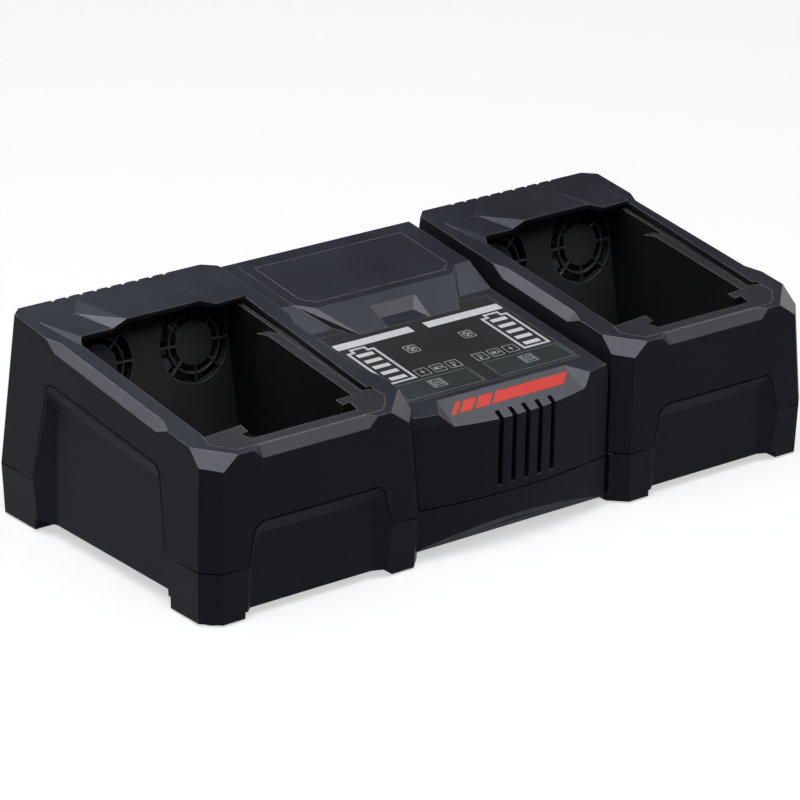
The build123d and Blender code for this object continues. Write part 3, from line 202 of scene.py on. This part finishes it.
def math_node(tree, operation, first, second=None, clamp=False):
    """Math node on two sockets or numbers."""
    node = tree.nodes.new("ShaderNodeMath")
    node.operation = operation
    node.use_clamp = clamp
    for index, value in enumerate((first, second)):
        if value is None:
            continue
        if isinstance(value, (int, float)):
            node.inputs[index].default_value = value
        else:
            tree.links.new(value, node.inputs[index])
    return node.outputs[0]


def noise_node(tree, place, scale, detail, roughness):
    """Noise on a point, at a scale per metre."""
    node = tree.nodes.new("ShaderNodeTexNoise")
    node.inputs["Detail"].default_value = detail
    node.inputs["Roughness"].default_value = roughness
    tree.links.new(scale, node.inputs["Scale"])
    tree.links.new(place, node.inputs["Vector"])
    return node.outputs["Fac"]


def moulded_grain_group():
    """Spark-eroded texture of a moulding: a height, a shade that follows it, and slow smudges."""
    group, start, end = new_group(
        "moulded_grain",
        [
            ("Grain per metre", "NodeSocketFloat", 1800.0),
            ("Smudge per metre", "NodeSocketFloat", 14.0),
        ],
        [
            ("Height", "NodeSocketFloat"),
            ("Shade", "NodeSocketFloat"),
            ("Smudge", "NodeSocketFloat"),
        ],
    )
    place = group.nodes.new("ShaderNodeTexCoord").outputs["Object"]
    fine = noise_node(group, place, start.outputs["Grain per metre"], 2.0, 0.6)
    cells = group.nodes.new("ShaderNodeTexVoronoi")
    cells.feature = "SMOOTH_F1"
    group.links.new(place, cells.inputs["Vector"])
    group.links.new(start.outputs["Grain per metre"], cells.inputs["Scale"])
    raised = math_node(group, "MULTIPLY", fine, 0.6)
    height = math_node(group, "ADD", raised, cells.outputs["Distance"])
    slow = noise_node(group, place, start.outputs["Smudge per metre"], 3.0, 0.55)
    group.links.new(height, end.inputs["Height"])
    group.links.new(fine, end.inputs["Shade"])
    group.links.new(slow, end.inputs["Smudge"])
    return group


def edge_normal(tree, radius):
    """Normal of the surface with its edges rounded by a radius."""
    node = tree.nodes.new("ShaderNodeBevel")
    node.samples = 6
    node.inputs["Radius"].default_value = radius * MM
    return node.outputs["Normal"]


def edge_round_and_highlight_group():
    """Rounded normal of a moulding's edges, and a mask for a painted highlight on its upward-facing edges,
    broken up by noise.
    """
    group, start, end = new_group(
        "edge_round_and_highlight",
        [("Breaks per metre", "NodeSocketFloat", 160.0)],
        [("Normal", "NodeSocketVector"), ("Painted highlight", "NodeSocketFloat")],
    )
    round_edge = edge_normal(group, EDGE_ROUNDING)
    wide_edge = edge_normal(group, HIGHLIGHT_REACH)
    flat = group.nodes.new("ShaderNodeNewGeometry")
    aligned = group.nodes.new("ShaderNodeVectorMath")
    aligned.operation = "DOT_PRODUCT"
    group.links.new(wide_edge, aligned.inputs[0])
    group.links.new(flat.outputs["True Normal"], aligned.inputs[1])
    off = math_node(group, "SUBTRACT", 1.0, aligned.outputs["Value"], clamp=True)
    place = group.nodes.new("ShaderNodeTexCoord").outputs["Object"]
    breaks = noise_node(group, place, start.outputs["Breaks per metre"], 3.0, 0.6)
    parts = group.nodes.new("ShaderNodeSeparateXYZ")
    group.links.new(wide_edge, parts.inputs[0])
    # painted highlight: edges are lightened only where they face upwards, towards the overhead lamps
    over = math_node(group, "SUBTRACT", parts.outputs["Z"], HIGHLIGHT_TILT)
    upward = math_node(group, "MULTIPLY", over, HIGHLIGHT_TILT_GAIN, clamp=True)
    near = math_node(group, "MULTIPLY", off, HIGHLIGHT_GAIN, clamp=True)
    highlit = math_node(group, "MULTIPLY", near, breaks)
    painted_highlight = math_node(group, "MULTIPLY", highlit, upward)
    group.links.new(round_edge, end.inputs["Normal"])
    group.links.new(painted_highlight, end.inputs["Painted highlight"])
    return group


GRAIN = moulded_grain_group()
EDGE = edge_round_and_highlight_group()

# ---------------------------------------------------------------- materials

MOULD_GRAIN = 1800.0  # per metre
PRINT_GRAIN = 2600.0
GRAIN_HEIGHT = 0.05
HIGHLIGHT_COLOUR_GAIN = 2.2  # colour of the painted edge highlight, from the moulding's own
HIGHLIGHT_COLOUR_LIFT = 0.26
NOISE_RANGE = (0.25, 0.75)  # where nearly all of a noise lies


def start_material(name, roughness, specular):
    """Material with one Principled shader."""
    material = bpy.data.materials.new(name)
    material.use_nodes = True
    shader = material.node_tree.nodes["Principled BSDF"]
    shader.inputs["Roughness"].default_value = roughness
    shader.inputs["Specular IOR Level"].default_value = specular
    return material, material.node_tree, shader


def place_group(tree, group, **values):
    """Node group in a material, with its values by socket name."""
    node = tree.nodes.new("ShaderNodeGroup")
    node.node_tree = group
    for label, value in values.items():
        node.inputs[label.replace("_", " ")].default_value = value
    return node


def mix_colour(tree, share, first, second):
    """Mix of two colours, each a tuple or a socket, by a share from a socket."""
    node = tree.nodes.new("ShaderNodeMix")
    node.data_type = "RGBA"
    for label, value in (("Factor", share), ("A", first), ("B", second)):
        socket = [s for s in node.inputs if s.name == label and s.enabled][0]
        if isinstance(value, tuple):
            socket.default_value = (*value, 1)
        else:
            tree.links.new(value, socket)
    return [s for s in node.outputs if s.enabled][0]


def spread(tree, value, low, high):
    """Moves a noise into a range."""
    node = tree.nodes.new("ShaderNodeMapRange")
    node.inputs["From Min"].default_value = NOISE_RANGE[0]
    node.inputs["From Max"].default_value = NOISE_RANGE[1]
    node.inputs["To Min"].default_value = low
    node.inputs["To Max"].default_value = high
    tree.links.new(value, node.inputs["Value"])
    return node.outputs["Result"]


def moulded(name, colour, roughness=0.42, specular=0.06, depth=0.25, painted_highlight=0.8, lift=1.35):
    """Moulded plastic, rubber or metal: fine texture, faint smudges and a painted highlight on the upper
    edges.
    """
    material, tree, shader = start_material(name, roughness, specular)
    surface = place_group(tree, GRAIN, Grain_per_metre=MOULD_GRAIN)
    edge = place_group(tree, EDGE)
    lighter = tuple(min(1.0, c * lift) for c in colour)
    tinted = mix_colour(tree, spread(tree, surface.outputs["Shade"], 0.0, 1.0), colour, lighter)
    # painted highlight: a lighter colour on the upper edges, standing in for the light they catch
    highlit = tuple(min(1.0, c * HIGHLIGHT_COLOUR_GAIN + HIGHLIGHT_COLOUR_LIFT) for c in colour)
    edge_share = math_node(tree, "MULTIPLY", edge.outputs["Painted highlight"], painted_highlight, clamp=True)
    tree.links.new(mix_colour(tree, edge_share, tinted, highlit), shader.inputs["Base Color"])
    tree.links.new(
        spread(tree, surface.outputs["Smudge"], roughness - 0.05, roughness + 0.07),
        shader.inputs["Roughness"],
    )
    bump = tree.nodes.new("ShaderNodeBump")
    bump.inputs["Strength"].default_value = depth
    bump.inputs["Distance"].default_value = GRAIN_HEIGHT * MM
    tree.links.new(surface.outputs["Height"], bump.inputs["Height"])
    tree.links.new(edge.outputs["Normal"], bump.inputs["Normal"])
    tree.links.new(bump.outputs["Normal"], shader.inputs["Normal"])
    return material


SHELL_BLACK = (0.0044, 0.0054, 0.0098)
BASE_BLACK = (0.0072, 0.0082, 0.0130)
POCKET_BLACK = (0.0030, 0.0036, 0.0052)
PANEL_BLACK = (0.0070, 0.0078, 0.0110)
FRAME_BLACK = (0.0040, 0.0042, 0.0050)
ROTOR_BLACK = (0.0035, 0.0036, 0.0042)
KEY_BLACK = (0.0045, 0.0080, 0.0082)
FILM_BLACK = (0.0085, 0.0100, 0.0110)
GUIDE_WHITE = (0.74, 0.75, 0.76)
ACCENT_RED = (0.86, 0.028, 0.010)

FINISHES = {
    "upper_shell": {"colour": SHELL_BLACK},
    "base_shell": {"colour": BASE_BLACK},
    "bay_tub": {"colour": POCKET_BLACK, "roughness": 0.46, "depth": 0.12},
    "fan_panel": {"colour": PANEL_BLACK, "roughness": 0.5, "specular": 0.1, "depth": 0.18},
    "contact_block": {"colour": POCKET_BLACK, "roughness": 0.4, "specular": 0.1, "depth": 0.1},
    "contact_metal": {"colour": (0.62, 0.58, 0.50), "roughness": 0.3, "specular": 0.5, "depth": 0.05},
    "foot_rubber": {"colour": (0.014, 0.014, 0.014), "roughness": 0.8, "specular": 0.2, "depth": 0.4},
    "fan_frame": {"colour": FRAME_BLACK, "roughness": 0.45, "depth": 0.1},
    "fan_rotor": {"colour": ROTOR_BLACK, "roughness": 0.5, "specular": 0.05, "depth": 0.08},
    "mode_key": {"colour": KEY_BLACK, "roughness": 0.46, "depth": 0.12, "painted_highlight": 0.2},
    "switch_body": {"colour": (0.05, 0.05, 0.05), "roughness": 0.5, "specular": 0.4},
    "light_guide": {
        "colour": GUIDE_WHITE, "roughness": 0.45, "specular": 0.15, "depth": 0.08, "lift": 1.04,
    },
    "transformer_core": {"colour": (0.06, 0.05, 0.04), "roughness": 0.6, "specular": 0.3},
    "capacitor_can": {"colour": (0.03, 0.05, 0.10), "roughness": 0.35, "specular": 0.5, "depth": 0.05},
    "heat_sink": {"colour": (0.55, 0.56, 0.58), "roughness": 0.35, "specular": 0.5, "depth": 0.1},
    "display_film": {
        "colour": FILM_BLACK, "roughness": 0.36, "specular": 0.08, "depth": 0.06, "painted_highlight": 0.1,
    },
    "nameplate": {"colour": SHELL_BLACK, "specular": 0.07, "depth": 0.08},
    "accent_red": {
        "colour": ACCENT_RED, "roughness": 0.5, "specular": 0.04, "depth": 0.08, "painted_highlight": 0.05, "lift": 1.05,
    },
    "circuit_board": {"colour": (0.02, 0.09, 0.04), "roughness": 0.4, "specular": 0.5, "depth": 0.1},
    "gland": {"colour": (0.012, 0.012, 0.013), "roughness": 0.6, "specular": 0.3},
}
SCREW_STEEL = {"colour": (0.30, 0.31, 0.32), "roughness": 0.35, "specular": 0.5, "depth": 0.05}
# near-black with no reflection: painted shade that stands in for the dark gap of the seam
SEAM_SHADE_BLACK = {"colour": (0.0008, 0.0008, 0.0010), "roughness": 0.9, "specular": 0.0, "painted_highlight": 0.0}


def finish_nodes():
    """Gives each carried-over node the finish of its slot."""
    made = {}
    for subpart in frame["record"]["subparts"]:
        slot = subpart["material_slot"]
        if slot not in made:
            made[slot] = moulded(slot, **FINISHES[slot])
        for holder in frame["nodes"][subpart["node"]].material_slots:
            holder.material = made[slot]


# ---------------------------------------------------------------- printed graphics

FILM_THICKNESS = 1.0
INK = 0.03  # a printed layer
film_low, film_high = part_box("display_film")
MIDDLE = (film_low.x + film_high.x) / 2
FILM_REAR = film_high.y - math.sin(TOP_SLOPE) * FILM_THICKNESS * MM

# Places on the display: across from its middle, and back from the object's front face.
BATTERY_MIDDLE = 41.3
BATTERY_HALF = 8.4
BATTERY_FRONT = 38.3
BATTERY_REAR = 72.3
BATTERY_NUB = (4.9, 75.2)  # half its width, and where it ends
BATTERY_LINE = 1.5
WINDOW_HALF = 4.9
WINDOW_FRONT = 41.3
WINDOW_DEPTH = 3.0
WINDOW_PITCH = 6.3
WINDOWS = 5
SIGN_WIDTH = 7.3
SIGN_DEPTH = 6.9
SIGN_LINE = 0.42
SIGN_CORNER = 0.8
SIGN_ROW = 41.8
SIGN_PLACES = (8.3, 17.7, 27.2)
COOLING_PLACE = (17.2, 62.8)
KEY_EDGES = (4.5, 51.4, 21.3, 36.6)  # inner, outer, front and back
KEY_BORDER = (0.6, 0.28, 0.5)  # its distance from the edges, its line and its corners
KEY_SIGN = (28.0, 30.0)
KEY_SIGN_SHIFT = 0.5  # of both signs, to the right
KEY_PLATE = (4.2, 3.8, 0.6)  # half its width and depth, and its corners


def on_deck(x, y, above=0.0):
    """Point of the display: across from its middle, behind the front face and above the film."""
    back = FRONT + y * MM
    height = film_high.z - (FILM_REAR - back) * math.tan(TOP_SLOPE)
    return Vector((
        MIDDLE + x * MM,
        back - math.sin(TOP_SLOPE) * above * MM,
        height + math.cos(TOP_SLOPE) * above * MM,
    ))


def round_loop(x, y, radius, count=28):
    """Points of a circle."""
    turns = [2 * math.pi * index / count for index in range(count)]
    return [(x + radius * math.cos(turn), y + radius * math.sin(turn)) for turn in turns]


def rounded_loop(left, right, front, back, corner, steps=4):
    """Points of a rectangle with round corners."""
    points = []
    for x, y, start in (
        (right - corner, back - corner, 0.0),
        (left + corner, back - corner, 0.5),
        (left + corner, front + corner, 1.0),
        (right - corner, front + corner, 1.5),
    ):
        for index in range(steps + 1):
            turn = math.pi * (start + 0.5 * index / steps)
            points.append((x + corner * math.cos(turn), y + corner * math.sin(turn)))
    return points


def band(outer, inner):
    """Faces between two loops of as many points."""
    count = len(outer)
    faces = []
    for index in range(count):
        after = (index + 1) % count
        faces.append([outer[index], outer[after], inner[after], inner[index]])
    return faces


def ring(x, y, radius, line):
    """Line round a circle."""
    return band(round_loop(x, y, radius), round_loop(x, y, radius - line))


def box_line(left, right, front, back, line, corner):
    """Line round a rectangle with round corners."""
    outer = rounded_loop(left, right, front, back, corner)
    inner = rounded_loop(left + line, right - line, front + line, back - line, corner - line * 0.6)
    return band(outer, inner)


def stroke(start, end, width):
    """Straight line of a width."""
    along = Vector(end) - Vector(start)
    side = Vector((-along.y, along.x)).normalized() * width / 2
    first, last = Vector(start), Vector(end)
    return [[tuple(first + side), tuple(first - side), tuple(last - side), tuple(last + side)]]


def printed(name, faces, finish, body="housing", layer=0):
    """Thin printed layer on the display or on a key."""
    work = bmesh.new()
    for face in faces:
        work.faces.new([work.verts.new(on_deck(x, y, layer * INK)) for x, y in face])
    bmesh.ops.remove_doubles(work, verts=work.verts[:], dist=0.0005 * MM)
    raised = bmesh.ops.extrude_face_region(work, geom=work.faces[:], use_keep_orig=True)
    lift = on_deck(0, 0, INK) - on_deck(0, 0)
    upper = [part for part in raised["geom"] if isinstance(part, bmesh.types.BMVert)]
    bmesh.ops.translate(work, vec=lift, verts=upper)
    bmesh.ops.recalc_face_normals(work, faces=work.faces[:])
    mesh = bpy.data.meshes.new(name)
    work.to_mesh(mesh)
    work.free()
    mesh.materials.append(finish)
    piece = bpy.data.objects.new(name, mesh)
    bpy.context.scene.collection.objects.link(piece)
    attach(piece, body)


def battery_loop(middle, inset):
    """Outline of the battery, inset by a width, with its nub at the back."""
    half = BATTERY_HALF - inset
    nub = BATTERY_NUB[0] - inset
    front, back, end = BATTERY_FRONT + inset, BATTERY_REAR - inset, BATTERY_NUB[1] - inset
    return [
        (middle - half, front), (middle + half, front), (middle + half, back), (middle + nub, back),
        (middle + nub, end), (middle - nub, end), (middle - nub, back), (middle - half, back),
    ]


def gauge_mask(middle):
    """Dark field inside the battery, open over the light guides."""
    half = BATTERY_HALF - BATTERY_LINE
    columns = [middle - half, middle - WINDOW_HALF, middle + WINDOW_HALF, middle + half]
    rows = [BATTERY_FRONT + BATTERY_LINE]
    for index in range(WINDOWS):
        start = WINDOW_FRONT + WINDOW_PITCH * index
        rows += [start, start + WINDOW_DEPTH]
    rows.append(BATTERY_REAR - BATTERY_LINE)
    faces = []
    for row in range(len(rows) - 1):
        for column in range(3):
            if column == 1 and row % 2 == 1:
                continue
            left, right = columns[column], columns[column + 1]
            low, high = rows[row], rows[row + 1]
            faces.append([(left, low), (right, low), (right, high), (left, high)])
    return faces


def sign_frame(x, y):
    """Line round a sign."""
    half, reach = SIGN_WIDTH / 2, SIGN_DEPTH / 2
    return box_line(x - half, x + half, y - reach, y + reach, SIGN_LINE, SIGN_CORNER)


def cooling_sign(x, y):
    """Fan of three blades in a ring."""
    faces = ring(x, y, 2.5, 0.35) + [round_loop(x, y, 0.55, 16)]
    for blade in range(3):
        corners = []
        for radius, turn in ((0.8, 0), (1.35, -22), (1.95, -12), (1.9, 28), (1.4, 40), (0.8, 46)):
            angle = math.radians(turn + 120 * blade)
            corners.append((x + radius * math.cos(angle), y + radius * math.sin(angle)))
        faces.append(corners)
    return faces


def bolt_sign(x, y):
    """Lightning bolt."""
    shape = ((0.5, 2.3), (-1.35, -0.3), (-0.15, -0.3), (-0.6, -2.3), (1.35, 0.5), (0.15, 0.5))
    return [[(x + across, y + along) for across, along in shape]]


def heat_sign(x, y):
    """Thermometer with three marks."""
    faces = [round_loop(x - 0.6, y - 1.5, 0.85, 20)]
    faces += box_line(x - 1.05, x - 0.15, y - 0.9, y + 2.3, 0.28, 0.4)
    for mark in range(3):
        faces += stroke((x + 0.4, y + 1.9 - mark * 1.0), (x + 1.5, y + 1.9 - mark * 1.0), 0.3)
    return faces


def half_full_sign(x, y):
    """Small battery on its side, half full."""
    faces = box_line(x - 2.4, x + 1.9, y - 1.25, y + 1.25, 0.35, 0.4)
    faces += stroke((x + 2.1, y), (x + 2.6, y), 1.1)
    faces += stroke((x - 1.8, y), (x + 0.1, y), 1.4)
    return faces


def key_sign(x, y):
    """Ring with a pointer over a bar, left dark on the light plate."""
    faces = ring(x, y + 0.9, 2.1, 0.6)
    faces += stroke((x, y + 0.9), (x + 1.0, y + 2.2), 0.5)
    faces += stroke((x - 2.7, y - 2.6), (x + 2.7, y - 2.6), 0.9)
    return faces


def ink(name, colour, roughness=0.5):
    """Screen print: flat colour with slight mottling."""
    material, tree, shader = start_material(name, roughness, specular=0.08)
    surface = place_group(tree, GRAIN, Grain_per_metre=PRINT_GRAIN)
    darker = tuple(c * 0.9 for c in colour)
    tinted = mix_colour(tree, spread(tree, surface.outputs["Shade"], 0.0, 1.0), darker, colour)
    tree.links.new(tinted, shader.inputs["Base Color"])
    tree.links.new(
        spread(tree, surface.outputs["Smudge"], roughness - 0.06, roughness + 0.06),
        shader.inputs["Roughness"],
    )
    return material


def print_display():
    """Batteries, gauge masks and signs of both sides, and what is printed on the keys."""
    white = ink("white_print", (0.70, 0.71, 0.73))
    pale = ink("pale_print", (0.42, 0.44, 0.45))
    grey = ink("grey_print", (0.14, 0.16, 0.16))
    dark = ink("dark_print", FILM_BLACK, 0.4)
    for side, face in (("left", -1), ("right", 1)):
        middle = face * BATTERY_MIDDLE
        outline = band(battery_loop(middle, 0.0), battery_loop(middle, BATTERY_LINE))
        printed(f"{side}_battery_outline", outline, white, layer=1)
        printed(f"{side}_gauge_mask", gauge_mask(middle), dark)
        x, y = face * COOLING_PLACE[0], COOLING_PLACE[1]
        printed(f"{side}_cooling_sign", sign_frame(x, y) + cooling_sign(x, y), pale)
        for label, draw, place in (
            ("heat", heat_sign, SIGN_PLACES[0]),
            ("half_full", half_full_sign, SIGN_PLACES[1]),
            ("bolt", bolt_sign, SIGN_PLACES[2]),
        ):
            x = face * place
            shapes = sign_frame(x, SIGN_ROW) + draw(x, SIGN_ROW)
            printed(f"{side}_{label}_sign", shapes, pale)
        key = f"{side}_key"
        inner, outer, front, back = KEY_EDGES
        margin, line, corner = KEY_BORDER
        left, right = sorted((face * (inner + margin), face * (outer - margin)))
        border = box_line(left, right, front + margin, back - margin, line, corner)
        printed(f"{side}_key_border", border, grey, key)
        x, y = face * KEY_SIGN[0] + KEY_SIGN_SHIFT, KEY_SIGN[1]
        half, reach, corner = KEY_PLATE
        plate = [rounded_loop(x - half, x + half, y - reach, y + reach, corner)]
        printed(f"{side}_key_plate", plate, grey, key)
        printed(f"{side}_key_sign", key_sign(x, y), dark, key, layer=1)


# ---------------------------------------------------------------- geometry trees


def new_tree(name, sizes):
    """Geometry tree with named inputs for its sizes, in millimetres, and for its finish."""
    tree = bpy.data.node_groups.new(name, "GeometryNodeTree")
    tree.is_modifier = True
    sockets = tree.interface
    sockets.new_socket(name="Geometry", in_out="INPUT", socket_type="NodeSocketGeometry")
    for label, value in sizes:
        socket = sockets.new_socket(name=label, in_out="INPUT", socket_type="NodeSocketFloat")
        socket.default_value = value * MM
    sockets.new_socket(name="Finish", in_out="INPUT", socket_type="NodeSocketMaterial")
    sockets.new_socket(name="Geometry", in_out="OUTPUT", socket_type="NodeSocketGeometry")
    return tree, tree.nodes.new("NodeGroupInput")


def end_tree(tree, start, geometry):
    """Makes the tree's result real and gives it the finish."""
    end = tree.nodes.new("NodeGroupOutput")
    real = tree.nodes.new("GeometryNodeRealizeInstances")
    finish = tree.nodes.new("GeometryNodeSetMaterial")
    tree.links.new(geometry, real.inputs["Geometry"])
    tree.links.new(real.outputs["Geometry"], finish.inputs["Geometry"])
    tree.links.new(start.outputs["Finish"], finish.inputs["Material"])
    tree.links.new(finish.outputs["Geometry"], end.inputs["Geometry"])


def grown(name, points, edges, tree, finish):
    """Piece that a geometry tree grows on points and edges."""
    seed = bpy.data.meshes.new(name + "_seed")
    seed.from_pydata(points, edges, [])
    holder = bpy.data.objects.new(name + "_seed", seed)
    bpy.context.scene.collection.objects.link(holder)
    modifier = holder.modifiers.new("grow", "NODES")
    modifier.node_group = tree
    for item in tree.interface.items_tree:
        if item.name == "Finish":
            modifier[item.identifier] = finish
    graph = bpy.context.evaluated_depsgraph_get()
    mesh = bpy.data.meshes.new_from_object(holder.evaluated_get(graph))
    holder.modifiers.remove(modifier)
    bpy.data.objects.remove(holder)
    mesh.name = name
    mesh.materials.clear()
    mesh.materials.append(finish)
    for face in mesh.polygons:
        face.material_index = 0
    piece = bpy.data.objects.new(name, mesh)
    bpy.context.scene.collection.objects.link(piece)
    return piece


# ---------------------------------------------------------------- screws under the base

SCREW_LEVEL = 6.7  # underside of the base's floor
HEAD_RADIUS = 3.2
HEAD_TAPER = 0.78  # radius of the head at its outer end, as a share of that at the base
HEAD_HEIGHT = 1.5
DRIVE_RADIUS = 1.5
DRIVE_DEPTH = 1.0
SCREWS = (
    (-165, 62), (-82, 62), (-165, -52), (-82, -52),
    (82, 62), (165, 62), (82, -52), (165, -52),
    (-30, 0), (30, 0),
)


def screws_tree():
    """Round-headed screws with a six-sided drive at every point, heads down."""
    tree, start = new_tree(
        "screws_at_points",
        (
            ("Head radius", HEAD_RADIUS),
            ("Head height", HEAD_HEIGHT),
            ("Drive radius", DRIVE_RADIUS),
            ("Drive depth", DRIVE_DEPTH),
        ),
    )
    nodes, links, sizes = tree.nodes, tree.links, start.outputs
    head = nodes.new("GeometryNodeMeshCone")
    head.inputs["Vertices"].default_value = 28
    links.new(sizes["Head radius"], head.inputs["Radius Top"])
    links.new(sizes["Head height"], head.inputs["Depth"])
    links.new(math_node(tree, "MULTIPLY", sizes["Head radius"], HEAD_TAPER), head.inputs["Radius Bottom"])
    drive = nodes.new("GeometryNodeMeshCylinder")
    drive.inputs["Vertices"].default_value = 6
    links.new(sizes["Drive radius"], drive.inputs["Radius"])
    links.new(math_node(tree, "MULTIPLY", sizes["Drive depth"], 2.0), drive.inputs["Depth"])
    cut = nodes.new("GeometryNodeMeshBoolean")
    cut.operation = "DIFFERENCE"
    links.new(head.outputs["Mesh"], cut.inputs["Mesh 1"])
    links.new(drive.outputs["Mesh"], cut.inputs["Mesh 2"])
    many = nodes.new("GeometryNodeInstanceOnPoints")
    links.new(sizes["Geometry"], many.inputs["Points"])
    links.new(cut.outputs["Mesh"], many.inputs["Instance"])
    end_tree(tree, start, many.outputs["Instances"])
    return tree


def make_screws():
    """Screws that hold the base to the housings."""
    middle = SCREW_LEVEL - HEAD_HEIGHT / 2
    places = [Vector((x, y, middle)) * MM for x, y in SCREWS]
    piece = grown("base_screws", places, [], screws_tree(), moulded("screw_steel", **SCREW_STEEL))
    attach(piece, "housing")


# ---------------------------------------------------------------- painted shade: a dark bead in the seam

BEAD_RADIUS = 0.45
BEAD_SUNK = 0.30  # how far the bead's middle lies behind the walls
SEAM_REACH = 0.45  # an edge of the base this near an upper housing lies on the seam
SHARP_EDGE = math.radians(30)
LEVEL_FACE = 0.5  # a face whose normal stands this steep is no wall
LOOK_OUT = 0.4  # start of the look outwards, off the wall
UPPER_HOUSINGS = ("left_bay_housing", "right_bay_housing", "centre_housing")


def node_shape(name):
    """Merged copy of a carried-over node's mesh."""
    shape = bmesh.new()
    shape.from_mesh(frame["nodes"][name].data)
    bmesh.ops.remove_doubles(shape, verts=shape.verts[:], dist=0.001 * MM)
    shape.normal_update()
    return shape


def seam_path():
    """Points and edges of the seam between the base and the upper housings, where it shows."""
    base = node_shape("lower_housing")
    walls = [BVHTree.FromBMesh(base)]
    for name in UPPER_HOUSINGS:
        upper = node_shape(name)
        walls.append(BVHTree.FromBMesh(upper))
        upper.free()
    outward = {}
    kept = []
    for edge in base.edges:
        if len(edge.link_faces) != 2 or edge.calc_face_angle(0.0) < SHARP_EDGE:
            continue
        middle = (edge.verts[0].co + edge.verts[1].co) / 2
        if min(wall.find_nearest(middle)[3] for wall in walls[1:]) > SEAM_REACH * MM:
            continue
        face = min(edge.link_faces, key=lambda f: abs(f.normal.z))
        start = middle + face.normal * LOOK_OUT * MM
        if abs(face.normal.z) > LEVEL_FACE or any(wall.ray_cast(start, face.normal)[0] for wall in walls):
            continue
        kept.append(edge)
        for vert in edge.verts:
            outward.setdefault(vert, []).append(face.normal.copy())
    places = {}
    points = []
    for vert, normals in outward.items():
        nearest = min((wall.find_nearest(vert.co) for wall in walls[1:]), key=lambda found: found[3])
        inward = -sum(normals, Vector()).normalized() * BEAD_SUNK * MM
        places[vert] = len(points)
        points.append((vert.co + nearest[0]) / 2 + inward)
    edges = [(places[edge.verts[0]], places[edge.verts[1]]) for edge in kept]
    base.free()
    return points, edges


def bead_tree():
    """Round bead of a radius along every edge."""
    tree, start = new_tree("bead_along_edges", (("Bead radius", BEAD_RADIUS),))
    nodes, links = tree.nodes, tree.links
    path = nodes.new("GeometryNodeMeshToCurve")
    links.new(start.outputs["Geometry"], path.inputs["Mesh"])
    section = nodes.new("GeometryNodeCurvePrimitiveCircle")
    section.inputs["Resolution"].default_value = 8
    links.new(start.outputs["Bead radius"], section.inputs["Radius"])
    swept = nodes.new("GeometryNodeCurveToMesh")
    swept.inputs["Fill Caps"].default_value = True
    links.new(path.outputs["Curve"], swept.inputs["Curve"])
    links.new(section.outputs["Curve"], swept.inputs["Profile Curve"])
    end_tree(tree, start, swept.outputs["Mesh"])
    return tree


def make_seam_shade_bead():
    """Near-black bead of painted shade in the seam, standing in for the shade of its gap, kept inside the
    object's own box.
    """
    points, edges = seam_path()
    piece = grown("seam_shade_bead", points, edges, bead_tree(), moulded("seam_shade_black", **SEAM_SHADE_BLACK))
    for vert in piece.data.vertices:
        for axis in range(3):
            vert.co[axis] = min(max(vert.co[axis], cad_low[axis]), cad_high[axis])
    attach(piece, "housing")


make_camera()
make_lamps()
make_stage()
finish_nodes()
print_display()
make_screws()
make_seam_shade_bead()

bpy.context.scene.view_settings.view_transform = "Standard"
